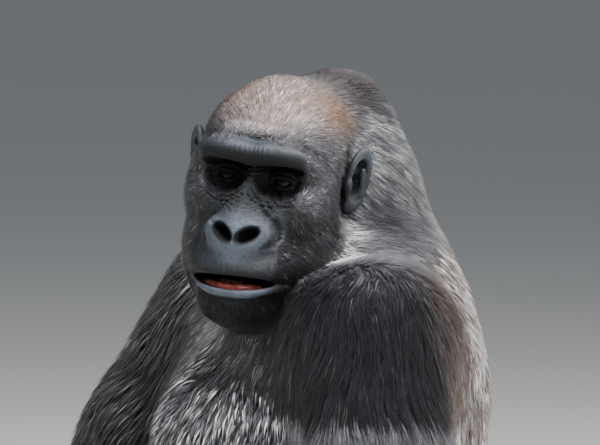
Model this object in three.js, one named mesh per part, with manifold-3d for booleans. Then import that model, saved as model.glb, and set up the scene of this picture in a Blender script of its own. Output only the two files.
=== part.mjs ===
// A seated adult western lowland gorilla, life size, as a still model for a museum.
// Millimetres, +Z up. The animal faces -Y and its own left is +X. The origin is on the floor,
// under the middle of the model's bounding box.
//
// The body is described once, as rounded masses that flow into each other. Every part is then a
// sphere whose points are moved out along rays from the part's own axis until they reach the tips
// of the coat, and is cut from its neighbours by thin plane cuts.

import * as THREE from "three";
import { mergeVertices } from "three/addons/utils/BufferGeometryUtils.js";
import Module from "manifold-3d";

const wasm = await Module();
wasm.setup();

const gap = 0.3; // between a part and its neighbour
const reach = 26; // how far a part is shaped beyond its cuts before it is cut

// ---- driving dimensions -------------------------------------------------------------------

// depth of the coat over the skin, added to each mass
const coat = {
  trunk: 15,
  back: 17,
  chest: 9,
  nape: 11,
  upperArm: 16,
  forearm: 18,
  wrist: 8,
  thigh: 14,
  shin: 14,
  hand: 3,
  foot: 2,
  crown: 6,
  cheek: 8,
  face: 1,
};

// joint centres of the pose, left and right
const pose = {
  left: {
    side: 1,
    shoulder: [165, -35, 512],
    elbow: [312, -99, 205],
    wrist: [312, -372, 92],
    hip: [88, 60, 108],
    knee: [152, -222, 210],
    ankle: [112, -340, 62],
    handTurn: 4,
    footTurn: 12,
  },
  right: {
    side: -1,
    shoulder: [-165, -6, 528],
    elbow: [-312, -140, 232],
    wrist: [-314, -402, 92],
    hip: [-88, 60, 108],
    knee: [-156, -214, 206],
    ankle: [-118, -332, 62],
    handTurn: -5,
    footTurn: -14,
  },
};

// the head's own frame has its origin midway between the corneas, y to the back of the head
const head = { eyes: [80, -122, 690], turn: 46, roll: 7.5, nod: 3 };

const eye = { apart: 59, back: 13.2, radius: 13 };

const ear = {
  at: [86.5, 96, 1],
  thick: 5,
  width: 15,
  height: 32,
  rim: 4.2,
  flare: 32,
  lean: 8,
  splay: 5,
};

// ---- vectors and masses -------------------------------------------------------------------

const vec = (p) => new THREE.Vector3(...p);
const degrees = THREE.MathUtils.degToRad;
const between = (a, b, t) => vec(a).lerp(vec(b), t).toArray();

// smooth union: the two surfaces flow together where they are closer than soft
function join(a, b, soft) {
  const near = Math.max(soft - Math.abs(a - b), 0) / soft;
  return Math.min(a, b) - (near * near * soft) / 4;
}

const carve = (a, b, soft) => -join(-a, b, soft);

// a mass gives the distance from its surface at a point: below zero inside it
function ball(centre, radii, soft, cover = 0) {
  const [rx, ry, rz] = radii.map((r) => r + cover);
  const at = (p) => {
    const x = p.x - centre[0];
    const y = p.y - centre[1];
    const z = p.z - centre[2];
    const scaled = Math.hypot(x / rx, y / ry, z / rz);
    const slope = Math.hypot(x / rx ** 2, y / ry ** 2, z / rz ** 2) + 1e-9;
    return (scaled * (scaled - 1)) / slope;
  };
  return { at, soft };
}

// a tapering round bar from a to b
function bar(a, b, ra, rb, soft, cover = 0) {
  const from = vec(a);
  const along = vec(b).sub(from);
  const length2 = along.lengthSq();
  const q = new THREE.Vector3();
  const at = (p) => {
    q.copy(p).sub(from);
    const t = THREE.MathUtils.clamp(q.dot(along) / length2, 0, 1);
    return q.addScaledVector(along, -t).length() - (ra + (rb - ra) * t) - cover;
  };
  return { at, soft };
}

const flowed = (masses) => (p) =>
  masses.reduce((d, mass) => (d === null ? mass.at(p) : join(d, mass.at(p), mass.soft)), null);

// ---- the trunk and neck -------------------------------------------------------------------

const trunkMasses = [
  ball([0, 62, 112], [165, 132, 116], 40, coat.trunk),
  ball([0, 34, 215], [176, 134, 120], 50, coat.trunk),
  ball([0, -8, 265], [190, 168, 160], 60, coat.trunk),
  ball([0, 0, 400], [182, 166, 125], 60, coat.trunk),
  ball([0, 46, 505], [165, 104, 120], 50, coat.back),
  bar([0, 58, 545], [-21, 44, 665], 89, 72, 50, coat.nape),
  bar([-21, 44, 665], [-30, 41, 736], 72, 58, 30, coat.nape),
  bar([34, -66, 602], [4, -12, 520], 60, 80, 40, coat.chest),
  ball([66, -52, 478], [84, 60, 80], 40, coat.chest),
  ball([-66, -42, 476], [84, 60, 80], 40, coat.chest),
  bar([24, 70, 594], [135, -10, 532], 46, 57, 35, coat.back),
  bar([-40, 45, 620], [-138, 8, 540], 50, 57, 45, coat.back),
  bar([90, 60, 460], [150, -5, 515], 62, 62, 45, coat.back),
  bar([-90, 66, 470], [-150, 6, 530], 62, 62, 45, coat.back),
];
const trunkField = flowed(trunkMasses);

// ---- limbs --------------------------------------------------------------------------------

function armMasses({ shoulder, elbow, wrist }) {
  const biceps = between(shoulder, elbow, 0.45);
  const swell = between(elbow, wrist, 0.3);
  return [
    bar(shoulder, biceps, 78, 72, 45, coat.upperArm),
    bar(biceps, elbow, 72, 52, 20, coat.upperArm),
    bar(elbow, swell, 50, 53, 20, coat.forearm),
    bar(swell, wrist, 53, 34, 20, coat.wrist),
  ];
}

function legMasses({ hip, knee, ankle }) {
  const calf = between(knee, ankle, 0.35);
  return [
    bar(hip, knee, 90, 60, 40, coat.thigh),
    bar(knee, calf, 58, 55, 20, coat.shin),
    bar(calf, ankle, 55, 36, 20, coat.wrist),
  ];
}

// a point given in the limb's own frame: x outwards, y back, z up from the floor
function placed(root, turn, side) {
  const cos = Math.cos(degrees(turn));
  const sin = Math.sin(degrees(turn));
  return ([x, y, z]) => [
    root[0] + x * side * cos - y * sin,
    root[1] + x * side * sin + y * cos,
    z,
  ];
}

// the hand rests on the backs of its bent fingers
const hand = { knuckles: [-27, -9, 9, 26], palmRadius: 19, fingerRadius: 13 };

function palmMasses({ wrist, handTurn, side }) {
  const put = placed(wrist, handTurn, side);
  const rays = hand.knuckles.map((x) =>
    bar(put([x * 0.7, 2, 88]), put([x, -58, 58]), hand.palmRadius, 16, 12, coat.hand),
  );
  return [...rays, bar(put([-22, -4, 80]), put([-36, -26, 58]), 17, 15, 12, coat.hand)];
}

const foot = {
  toes: [
    { x: -10, length: 172 },
    { x: 9, length: 178 },
    { x: 27, length: 168 },
    { x: 43, length: 150 },
  ],
  toeRadius: 12,
  toeLine: -112,
};

function footMasses({ ankle, footTurn, side }) {
  const put = placed(ankle, footTurn, side);
  return [
    bar(put([0, 34, 30]), put([2, -60, 32]), 31, 28, 20, coat.foot),
    bar(put([0, -10, 55]), put([4, -95, 30]), 31, 25, 20, coat.foot),
    bar(put([-26, -60, 24]), put([-8, -60, 24]), 24, 24, 15, coat.foot),
    bar(put([-14, -100, 22]), put([34, -95, 20]), 22, 19, 15, coat.foot),
  ];
}

// ---- the head -----------------------------------------------------------------------------

const headPlace = new THREE.Matrix4()
  .makeRotationZ(degrees(head.turn))
  .multiply(new THREE.Matrix4().makeRotationY(degrees(head.roll)))
  .multiply(new THREE.Matrix4().makeRotationX(degrees(head.nod)))
  .setPosition(...head.eyes);
const headUnplace = headPlace.clone().invert();

const middleHead = [
  ball([0, 97, 30], [65, 88, 58], 30, coat.crown),
  ball([0, 120, 48], [38, 56, 38], 30, coat.crown),
  ball([0, 8, -60], [46, 52, 60], 25, coat.face),
  ball([0, -8, -86], [51, 55, 36], 22, coat.face),
  ball([0, 4, -126], [45, 47, 32], 18, coat.cheek),
  ball([0, 56, -92], [56, 60, 56], 30, coat.cheek),
  bar([0, 0, 4], [0, -24, -34], 10, 15, 16, coat.face),
  ball([0, -37, -48], [23, 22, 20], 10, coat.face),
  ball([0, -41, -62], [31, 23, 18], 9, coat.face),
  ball([0, -10, -92], [50, 52, 14], 12, coat.face),
];

// bars along points of a curve, each point with its radius
function chain(points, soft, cover) {
  return points
    .slice(1)
    .map((b, i) => bar(points[i].at, b.at, points[i].r, b.r, soft, cover));
}

const brow = [
  { at: [0, -16, 27], r: 10.5 },
  { at: [16, -17.5, 28.5], r: 12 },
  { at: [33, -14, 28.5], r: 12.5 },
  { at: [47, -4, 24], r: 12 },
  { at: [57, 8, 14], r: 10.5 },
  { at: [60.5, 14, 1], r: 9.5 },
  { at: [58, 13, -13], r: 9 },
];
const lowerLip = [
  { at: [0, -57, -114.6], r: 5.6 },
  { at: [15, -54, -114], r: 5.6 },
  { at: [30, -43.5, -111], r: 5.2 },
  { at: [41, -30, -107], r: 4.4 },
  { at: [48, -18, -104], r: 3 },
];
const pairedHead = [
  ball([43, 72, 10], [27, 62, 55], 25, coat.crown),
  ball([26, 150, 44], [38, 54, 35], 30, coat.crown),
  ball([50, 52, -70], [24, 45, 58], 30, coat.cheek),
  ball([48, 14, -24], [24, 26, 24], 22, coat.face),
  ...chain(brow, 7, coat.face),
  ball([21, -37, -55], [16.5, 17, 15.5], 7, coat.face),
  ball([29, -33, -54], [9, 14, 12], 5, coat.face),
  ...chain(lowerLip, 5, coat.face),
];
const middleField = flowed(middleHead);
const orbit = ball([29, -9, -1], [23, 21, 14], 7);
const lids = ball([eye.apart / 2, 13.8, -0.5], [17, 15.8, 13.4], 5);

function headField(p) {
  const half = new THREE.Vector3(Math.abs(p.x), p.y, p.z);
  let d = middleField(p);
  for (const mass of pairedHead) d = join(d, mass.at(half), mass.soft);
  d = carve(d, orbit.at(half), orbit.soft);
  return join(d, lids.at(half), lids.soft);
}

const headAt = (p) => headField(p.clone().applyMatrix4(headUnplace));

// ---- shaping and cutting ------------------------------------------------------------------

// closed three.js geometry to a solid, and back
function solid(geometry) {
  const bare = geometry.index ? geometry.toNonIndexed() : geometry.clone();
  bare.deleteAttribute("normal");
  bare.deleteAttribute("uv");
  const merged = mergeVertices(bare, 1e-3);
  return new wasm.Manifold(
    new wasm.Mesh({
      numProp: 3,
      vertProperties: merged.attributes.position.array,
      triVerts: new Uint32Array(merged.index.array),
    }),
  );
}

function geometryOf(made) {
  const { vertProperties, triVerts } = made.getMesh();
  const geometry = new THREE.BufferGeometry();
  geometry.setAttribute("position", new THREE.BufferAttribute(vertProperties, 3));
  geometry.setIndex(new THREE.BufferAttribute(triVerts, 1));
  return geometry.toNonIndexed();
}

const moved = (made, matrix) => solid(geometryOf(made).applyMatrix4(matrix));
const largest = (made) => made.decompose().reduce((a, b) => (a.volume() > b.volume() ? a : b));

// everything behind a plane, as a large block
function behind({ point, normal }, shift = 0) {
  const size = 3000;
  const n = vec(normal).normalize();
  const block = new THREE.BoxGeometry(size, size, size).translate(0, 0, -size / 2);
  block.applyQuaternion(new THREE.Quaternion().setFromUnitVectors(vec([0, 0, 1]), n));
  block.translate(...vec(point).addScaledVector(n, shift).toArray());
  return solid(block);
}

const cell = (planes, shift = -gap / 2) =>
  planes.map((plane) => behind(plane, shift)).reduce((a, b) => a.intersect(b));

const flip = ({ point, normal }) => ({ point, normal: normal.map((n) => -n) });

function across(a, b, share) {
  return { point: between(a, b, share), normal: vec(b).sub(vec(a)).normalize().toArray() };
}

// the plane that halves the bend at b, facing on towards c
function bend(a, b, c) {
  const first = vec(b).sub(vec(a)).normalize();
  return { point: b, normal: vec(c).sub(vec(b)).normalize().add(first).normalize().toArray() };
}

const beyond = (p, { point, normal }) => p.clone().sub(vec(point)).dot(vec(normal).normalize());

// how far along a ray from inside the surface lies
function surfaceAlong(field, from, direction, limit) {
  const p = new THREE.Vector3();
  const at = (t) => field(p.copy(from).addScaledVector(direction, t));
  let low = 0;
  let high = 0;
  for (let d = at(0); d <= 0 && high < limit; d = at(high)) {
    low = high;
    high += Math.max(-d * 0.6, 1);
  }
  for (let i = 0; i < 14; i++) {
    const middle = (low + high) / 2;
    if (at(middle) > 0) high = middle;
    else low = middle;
  }
  return low;
}

// a sphere of points whose rings run along the axis a-b, moved out to the surface
function wrap(field, a, b, options) {
  const { rings, columns, cap = 0.22, planes = [], front = [0, -1, 0] } = options;
  const from = vec(a);
  const to = vec(b);
  const axis = to.clone().sub(from).normalize();
  const ahead = vec(front).addScaledVector(axis, -vec(front).dot(axis)).normalize();
  const left = new THREE.Vector3().crossVectors(axis, ahead);
  const bounded = (p) => planes.reduce((d, plane) => Math.max(d, beyond(p, plane) - reach), field(p));
  const sphere = new THREE.SphereGeometry(1, columns, rings);
  const points = sphere.attributes.position;
  const v = new THREE.Vector3();
  for (let i = 0; i < points.count; i++) {
    v.fromBufferAttribute(points, i);
    const share = Math.acos(THREE.MathUtils.clamp(-v.y, -1, 1)) / Math.PI;
    const around = Math.atan2(v.z, v.x);
    const middle = THREE.MathUtils.clamp((share - cap) / (1 - 2 * cap), 0, 1);
    const toEnd = Math.min(share, 1 - share) / cap;
    const tilt = (Math.PI / 2) * Math.min(toEnd, 1);
    const polar = share < 0.5 ? tilt : Math.PI - tilt;
    const out = ahead.clone().multiplyScalar(Math.cos(around)).addScaledVector(left, -Math.sin(around));
    const ray = out.multiplyScalar(Math.sin(polar)).addScaledVector(axis, -Math.cos(polar));
    const origin = from.clone().lerp(to, middle);
    const t = surfaceAlong(bounded, origin, ray, 900);
    points.setXYZ(i, ...origin.addScaledVector(ray, t).toArray());
  }
  return solid(sphere);
}

// the foot of a point on the field's surface, by steps down its slope
function settle(field, v) {
  const p = new THREE.Vector3();
  const slope = new THREE.Vector3();
  for (let i = 0; i < 3; i++) {
    const d = field(v);
    for (const axis of ["x", "y", "z"]) {
      p.copy(v)[axis] += 0.5;
      slope[axis] = (field(p) - d) / 0.5;
    }
    v.addScaledVector(slope, -d / Math.max(slope.lengthSq(), 0.3));
  }
  return v;
}

// the closed surface of whatever the field holds inside a box, one vertex to a cell of the grid
function shell(field, low, high, size) {
  const count = high.map((h, i) => Math.ceil((h - low[i]) / size));
  const [nx, ny, nz] = count;
  const stride = [1, nx + 1, (nx + 1) * (ny + 1)];
  const values = new Float32Array(stride[2] * (nz + 1)).fill(1);
  const node = (i, j, k) => i + j * stride[1] + k * stride[2];
  const place = (i, j, k) => vec([low[0] + i * size, low[1] + j * size, low[2] + k * size]);
  for (let k = 1; k < nz; k++)
    for (let j = 1; j < ny; j++)
      for (let i = 1; i < nx; i++) values[node(i, j, k)] = field(place(i, j, k));

  const corners = [0, 1, 2, 3, 4, 5, 6, 7].map((c) => [c & 1, (c >> 1) & 1, c >> 2]);
  const edges = corners.flatMap((_, a) => [1, 2, 4].filter((bit) => !(a & bit)).map((bit) => [a, a | bit]));
  const vertexOf = new Map();
  const positions = [];
  for (let k = 0; k < nz; k++)
    for (let j = 0; j < ny; j++)
      for (let i = 0; i < nx; i++) {
        const at = corners.map(([a, b, c]) => values[node(i + a, j + b, k + c)]);
        const crossed = edges.filter(([a, b]) => at[a] > 0 !== at[b] > 0);
        if (!crossed.length) continue;
        const v = new THREE.Vector3();
        for (const [a, b] of crossed) {
          const t = at[a] / (at[a] - at[b]);
          const from = place(...corners[a].map((n, axis) => n + [i, j, k][axis]));
          const to = place(...corners[b].map((n, axis) => n + [i, j, k][axis]));
          v.addScaledVector(from.lerp(to, t), 1 / crossed.length);
        }
        const inside = [i, j, k].every((n, axis) => n > 0 && n < count[axis] - 1);
        if (inside) {
          const settled = settle(field, v.clone());
          if (settled.distanceTo(v) < size * 0.45) v.copy(settled);
        }
        vertexOf.set(node(i, j, k), positions.length / 3);
        positions.push(...v.toArray());
      }

  const index = [];
  for (let k = 0; k < nz; k++)
    for (let j = 0; j < ny; j++)
      for (let i = 0; i < nx; i++)
        for (let axis = 0; axis < 3; axis++) {
          if ([i, j, k].some((n, other) => other !== axis && n === 0)) continue;
          const here = node(i, j, k);
          const inward = values[here] > 0;
          if (inward === values[here + stride[axis]] > 0) continue;
          const u = stride[(axis + 1) % 3];
          const w = stride[(axis + 2) % 3];
          const ring = [here, here - u, here - u - w, here - w].map((cellAt) => vertexOf.get(cellAt));
          const [a, b, c, d] = inward ? ring.reverse() : ring;
          index.push(a, b, c, a, c, d);
        }
  const geometry = new THREE.BufferGeometry();
  geometry.setAttribute("position", new THREE.Float32BufferAttribute(positions, 3));
  geometry.setIndex(index);
  return solid(geometry);
}

// a tapering bar with round ends, turned on a lathe
function digit(a, b, ra, rb) {
  const length = vec(b).distanceTo(vec(a));
  const start = [-90, -20].map((t) => [ra, 0, degrees(t)]);
  const end = [20, 90].map((t) => [rb, length, degrees(t)]);
  const profile = [...start, ...end].map(
    ([r, along, t]) => new THREE.Vector2(Math.abs(t) > 1.5 ? 0 : r * Math.cos(t), along + r * Math.sin(t)),
  );
  const turned = new THREE.LatheGeometry(profile, 5);
  const up = vec(b).sub(vec(a)).normalize();
  turned.applyQuaternion(new THREE.Quaternion().setFromUnitVectors(vec([0, 1, 0]), up));
  return solid(turned.translate(...a));
}

function ellipsoid(centre, radii, tilt = 0, rings = 10) {
  const round = new THREE.SphereGeometry(1, rings * 2, rings).rotateX(Math.PI / 2);
  return solid(round.scale(...radii).rotateY(degrees(-tilt)).translate(...centre));
}

// ---- materials and the model --------------------------------------------------------------

const finish = (color, roughness) =>
  new THREE.MeshStandardMaterial({ color, roughness, metalness: 0 });
const blackCoat = finish(0x2a2b30, 0.7);
const brownCoat = finish(0x3a332f, 0.75);
const greyCoat = finish(0x6f6c6c, 0.75);
const crownCoat = finish(0x5d4c43, 0.75);
const bareSkin = finish(0x3d4249, 0.5);
const tongueSkin = finish(0xa8584c, 0.4);
const toothEnamel = finish(0xcfc6ae, 0.35);
const brownEye = finish(0x2c1408, 0.1);

const gorilla = new THREE.Group();
gorilla.name = "gorilla";

function add(name, made, material) {
  const mesh = new THREE.Mesh(geometryOf(made), material);
  mesh.name = name;
  gorilla.add(mesh);
}

// ---- cuts ---------------------------------------------------------------------------------

const inHead = ({ point, normal }) => ({
  point: vec(point).applyMatrix4(headPlace).toArray(),
  normal: vec(normal).transformDirection(headPlace).toArray(),
});

// behind the skull, under the chin, and from the left cheek to the left shoulder
const mouth = { centre: [0, -20, -103.2], radii: [49, 60, 10.4], tilt: 0.048, tongueTop: -107.5 };
const headCuts = [
  { point: [0, 100, -60], normal: [0, 0.82, -0.57] },
  { point: [0, 0, -164], normal: [0, 0.1, -1] },
  { point: [72, 45, -100], normal: [0.8, 0.3, -0.6] },
].map(inHead);
const mouthCut = inHead({ point: mouth.centre, normal: [-mouth.tilt, 0, 1] });

const floorCut = { point: [0, 0, gap / 2], normal: [0, 0, -1] };
const neckCut = { point: [0, 0, 630], normal: [0, 0, 1] };
const waistCut = { point: [0, 0, 340], normal: [0, -0.15, 1] };

function limbCuts({ side, shoulder, elbow, wrist, hip, knee, ankle, handTurn, footTurn }) {
  const put = placed(wrist, handTurn, side);
  const knuckle = put([0, -60, 46]);
  return {
    shoulder: { point: [172 * side, 0, 440], normal: [0.97 * side, 0, 0.25] },
    elbow: bend(shoulder, elbow, wrist),
    wrist: across(elbow, wrist, 0.97),
    knuckles: { point: knuckle, normal: vec(knuckle).sub(vec(put([0, 8, 72]))).toArray() },
    groin: { point: [160 * side, -120, 240], normal: [0.7 * side, -0.8, -0.6] },
    knee: bend(hip, knee, ankle),
    ankle: across(knee, ankle, 0.92),
    toes: {
      point: placed(ankle, footTurn, side)([10, foot.toeLine, 20]),
      normal: vec(placed([0, 0], footTurn, side)([0, -1, 0])).toArray(),
    },
  };
}

// limbs and head flow into the trunk, and only touch each other
const headAndTrunk = (p) => join(trunkField(p), headAt(p), 26);

const sides = Object.entries(pose).map(([name, limb]) => {
  const arm = flowed([...armMasses(limb), ...palmMasses(limb)]);
  const leg = flowed([...legMasses(limb), ...footMasses(limb)]);
  return {
    name,
    limb,
    cuts: limbCuts(limb),
    armAndTrunk: (p) => join(trunkField(p), arm(p), 45),
    legAndTrunk: (p) => join(trunkField(p), leg(p), 40),
  };
});

const body = (p) =>
  Math.min(...sides.flatMap(({ armAndTrunk, legAndTrunk }) => [armAndTrunk(p), legAndTrunk(p)]));

// ---- the head's parts ---------------------------------------------------------------------

const eyeCentre = (side) => [(eye.apart / 2) * side, eye.back, 0];

function eyeball(side, grow = 0) {
  return moved(ellipsoid(eyeCentre(side), Array(3).fill(eye.radius + grow), 0, 6), headPlace);
}

// the ear in its own frame: x outwards, y back, z up
function earField(p) {
  const ring = Math.hypot(p.y / ear.width, p.z / ear.height) - 0.9;
  const rim = Math.hypot(ring * 20, p.x - 2) - ear.rim;
  const disc = ball([0, 0, 0], [ear.thick, ear.width, ear.height], 1).at(p);
  const bowl = ball([7, -2, 3], [8, 10, 20], 1).at(p);
  const lobe = ball([1, -3, -31], [5, 8, 8], 1).at(p);
  const root = ball([-11, -7, -3], [13, 12, 20], 1).at(p);
  return join(join(join(carve(disc, bowl, 3), rim, 4), lobe, 4), root, 5);
}

function earSolid(side, grow = 0) {
  const shaped = wrap((p) => earField(p) - grow, [-1, 0, -22], [-1, 0, 22], {
    rings: 8,
    columns: 10,
    cap: 0.3,
    front: [1, 0, 0],
  });
  const place = new THREE.Matrix4()
    .makeRotationY(degrees(ear.splay))
    .multiply(new THREE.Matrix4().makeRotationX(degrees(-ear.lean)))
    .multiply(new THREE.Matrix4().makeRotationZ(degrees(-ear.flare)))
    .setPosition(...ear.at);
  const placedLeft = moved(shaped, place);
  return moved(side > 0 ? placedLeft : placedLeft.mirror([1, 0, 0]), headPlace);
}

function lowerTeeth(grow = 0) {
  const row = [-2.5, -1.5, -0.5, 0.5, 1.5, 2.5].map((i) =>
    ellipsoid([i * 6, -50 + 0.8 * i * i, -111], [5.2, 4.2, 5].map((r) => r + grow), 0, 3),
  );
  return row.reduce((a, b) => a.add(b));
}

// the mouth's opening is higher at its left corner
function mouthSlot(shrink) {
  const [rx, ry, rz] = mouth.radii.map((r) => r - shrink);
  const round = new THREE.SphereGeometry(1, 14, 7).rotateX(Math.PI / 2).scale(rx, ry, rz);
  const points = round.attributes.position;
  for (let i = 0; i < points.count; i++)
    points.setZ(i, points.getZ(i) + mouth.tilt * points.getX(i));
  return solid(round.translate(...mouth.centre));
}

function makeMouthParts() {
  const low = behind({ point: [0, 0, mouth.tongueTop], normal: [0, 0, 1] });
  const room = mouthSlot(gap).intersect(low);
  const tongueFront = behind({ point: [0, -42, 0], normal: [0, -1, 0] });
  add("lower_teeth", moved(lowerTeeth().intersect(room), headPlace), toothEnamel);
  add("tongue", moved(room.intersect(tongueFront).subtract(lowerTeeth(gap)), headPlace), tongueSkin);
}

const headShell = (low, high, size, grow = 0) => {
  const field = (q) => join(trunkField(q.clone().applyMatrix4(headPlace)), headField(q), 26) - grow;
  return moved(shell(field, low, high, size), headPlace);
};

const headRoom = headShell([-125, -90, -190], [125, 250, 140], 13, 2.5).intersect(cell(headCuts, gap / 2));

const ears = earSolid(1, gap).add(earSolid(-1, gap));

function makeHead() {
  const faceCut = inHead({ point: [0, 40, 0], normal: [0, 1, 0] });
  let face = headShell([-107, -86, -124], [107, 64, 129], 13.5);
  face = face.intersect(cell([...headCuts, faceCut, flip(mouthCut)]));
  const skull = headShell([-122, 15, -130], [122, 245, 145], 27).subtract(ears);
  const jaw = headShell([-98, -86, -192], [98, 134, -78], 16);
  const slot = moved(mouthSlot(0), headPlace);
  for (const { name, limb } of sides) {
    const { side } = limb;
    const nostril = ellipsoid([13.2 * side, -57, -53], [13, 20, 6.8], 31 * side, 5);
    const eyeSlit = ellipsoid([(eye.apart / 2) * side, -3, -1], [11.5, 10, 5], 0, 5);
    face = face.subtract(moved(nostril.add(eyeSlit), headPlace)).subtract(eyeball(side, gap));
    add(`eye_${name}`, eyeball(side), brownEye);
    add(`ear_${name}`, earSolid(side), bareSkin);
  }
  add("face", largest(face.subtract(slot).subtract(ears)), bareSkin);
  const skullCell = cell([...headCuts, flip(faceCut), flip(mouthCut)]);
  add("skull", largest(skull.intersect(skullCell).subtract(slot)), crownCoat);
  add("jaw", largest(jaw.intersect(cell([...headCuts, mouthCut])).subtract(slot)), bareSkin);
}

// ---- the trunk's parts --------------------------------------------------------------------

function makeTrunk() {
  const nape = shell(headAndTrunk, [-200, -140, 590], [210, 190, 840], 38);
  const neck = nape.intersect(cell([flip(neckCut)])).subtract(cell(headCuts, gap / 2));
  add("neck", largest(neck.subtract(ears)), greyCoat);

  const shoulders = sides.map(({ cuts }) => cuts.shoulder);
  const chestCell = cell([neckCut, flip(waistCut), ...shoulders]);
  const chest = shell(body, [-290, -280, 220], [290, 260, 700], 60);
  add("chest", largest(chest.intersect(chestCell).subtract(headRoom).subtract(ears)), greyCoat);

  let belly = shell(body, [-295, -290, -70], [295, 270, 440], 60);
  belly = belly.intersect(cell([waistCut, floorCut, ...shoulders]));
  for (const { cuts } of sides) belly = belly.subtract(cell([flip(cuts.groin)], gap / 2));
  add("abdomen", largest(belly), blackCoat);
}

// ---- the limbs' parts ---------------------------------------------------------------------

// one length of a limb, shaped round the line a-b and cut off at its planes
function segment(name, [a, b], planes, size, material, room) {
  let made = wrap(body, a, b, { ...size, planes }).intersect(cell(planes));
  if (room) made = made.subtract(room);
  add(name, largest(made), material);
}

// the box that holds points and a margin round them
function boxRound(points, margin) {
  const box = new THREE.Box3().setFromPoints(points.map(vec)).expandByScalar(margin);
  return [box.min.toArray(), box.max.toArray()];
}

function makeArm({ name, limb, cuts, armAndTrunk }) {
  const { shoulder, elbow, wrist } = limb;
  const upperCell = cell([flip(cuts.shoulder), cuts.elbow, neckCut]);
  const upper = shell(armAndTrunk, ...boxRound([shoulder, elbow], 150), 45).intersect(upperCell);
  add(`upper_arm_${name}`, largest(upper.subtract(headRoom).subtract(ears)), blackCoat);
  const lower = [between(elbow, wrist, 0.04), between(elbow, wrist, 0.9)];
  segment(`forearm_${name}`, lower, [flip(cuts.elbow), cuts.wrist], { rings: 9, columns: 11 }, brownCoat);
}

const fingerNames = ["index", "middle", "ring", "little"];
const toeNames = ["second", "third", "fourth", "fifth"];

// the planes that keep digit i clear of its neighbours
function wallsOf(xs, i, put) {
  const beside = [xs[i - 1], xs[i + 1]].filter((x) => x !== undefined);
  return beside.map((x) => {
    const normal = vec(put([x - xs[i], 0, 0])).sub(vec(put([0, 0, 0]))).toArray();
    return { point: put([(x + xs[i]) / 2, 0, 0]), normal };
  });
}

function makeHand({ name, limb, cuts }) {
  const put = placed(limb.wrist, limb.handTurn, limb.side);
  const thumb = (grow) => digit(put([-34, -24, 60]), put([-52, -46, 36]), 13 + grow, 10 + grow);
  const palmLine = [put([0, -6, 82]), put([0, -44, 68])];
  const palmPlanes = [flip(cuts.wrist), cuts.knuckles];
  segment(`palm_${name}`, palmLine, palmPlanes, { rings: 6, columns: 9 }, bareSkin, thumb(gap));
  add(`thumb_${name}`, thumb(0), bareSkin);
  const r = hand.fingerRadius;
  hand.knuckles.forEach((x, i) => {
    const middleJoint = put([x * 1.02, -74, r - 2]);
    const endJoint = put([x * 0.98, -34, r - 3]);
    const bent = digit(put([x, -58, 58]), middleJoint, 15.5, r).add(digit(middleJoint, endJoint, r, r - 1));
    const finger = bent.intersect(cell([flip(cuts.knuckles), floorCut, ...wallsOf(hand.knuckles, i, put)]));
    add(`${fingerNames[i]}_finger_${name}`, largest(finger), bareSkin);
  });
}

function makeLeg({ name, limb, cuts, legAndTrunk }) {
  const { hip, knee, ankle } = limb;
  const thighCell = cell([flip(cuts.groin), cuts.knee, floorCut]);
  const thigh = shell(legAndTrunk, ...boxRound([hip, knee], 120), 40).intersect(thighCell);
  add(`thigh_${name}`, largest(thigh), blackCoat);
  const shinLine = [between(knee, ankle, 0.08), between(knee, ankle, 0.85)];
  segment(`shin_${name}`, shinLine, [flip(cuts.knee), cuts.ankle], { rings: 8, columns: 11 }, blackCoat);
}

function makeFoot({ name, limb, cuts }) {
  const put = placed(limb.ankle, limb.footTurn, limb.side);
  const bigToe = (grow) => digit(put([-26, -66, 22]), put([-47, -122, 15]), 19 + grow, 15 + grow);
  const footPlanes = [flip(cuts.ankle), cuts.toes, floorCut];
  const footLine = [put([0, 22, 30]), put([4, -92, 25])];
  segment(`foot_${name}`, footLine, footPlanes, { rings: 7, columns: 9 }, bareSkin, bigToe(gap));
  add(`big_toe_${name}`, bigToe(0).intersect(cell([floorCut])), bareSkin);
  const xs = foot.toes.map(({ x }) => x);
  foot.toes.forEach(({ x, length }, i) => {
    const r = foot.toeRadius;
    const toe = digit(put([x, -98, r + 5]), put([x, 12 - length, r - 2]), r, r - 1);
    const planes = [flip(cuts.toes), floorCut, ...wallsOf(xs, i, put)];
    add(`${toeNames[i]}_toe_${name}`, largest(toe.intersect(cell(planes))), bareSkin);
  });
}

// ---- build --------------------------------------------------------------------------------

makeHead();
makeMouthParts();
makeTrunk();
for (const side of sides) {
  makeArm(side);
  makeHand(side);
  makeLeg(side);
  makeFoot(side);
}

const box = new THREE.Box3().setFromObject(gorilla);
gorilla.position.set(-(box.min.x + box.max.x) / 2, -(box.min.y + box.max.y) / 2, -box.min.z);

export default gorilla;
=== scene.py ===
import math
import time

import bmesh
import bpy
import numpy as np
import openvdb
from mathutils import Matrix, Vector


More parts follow.
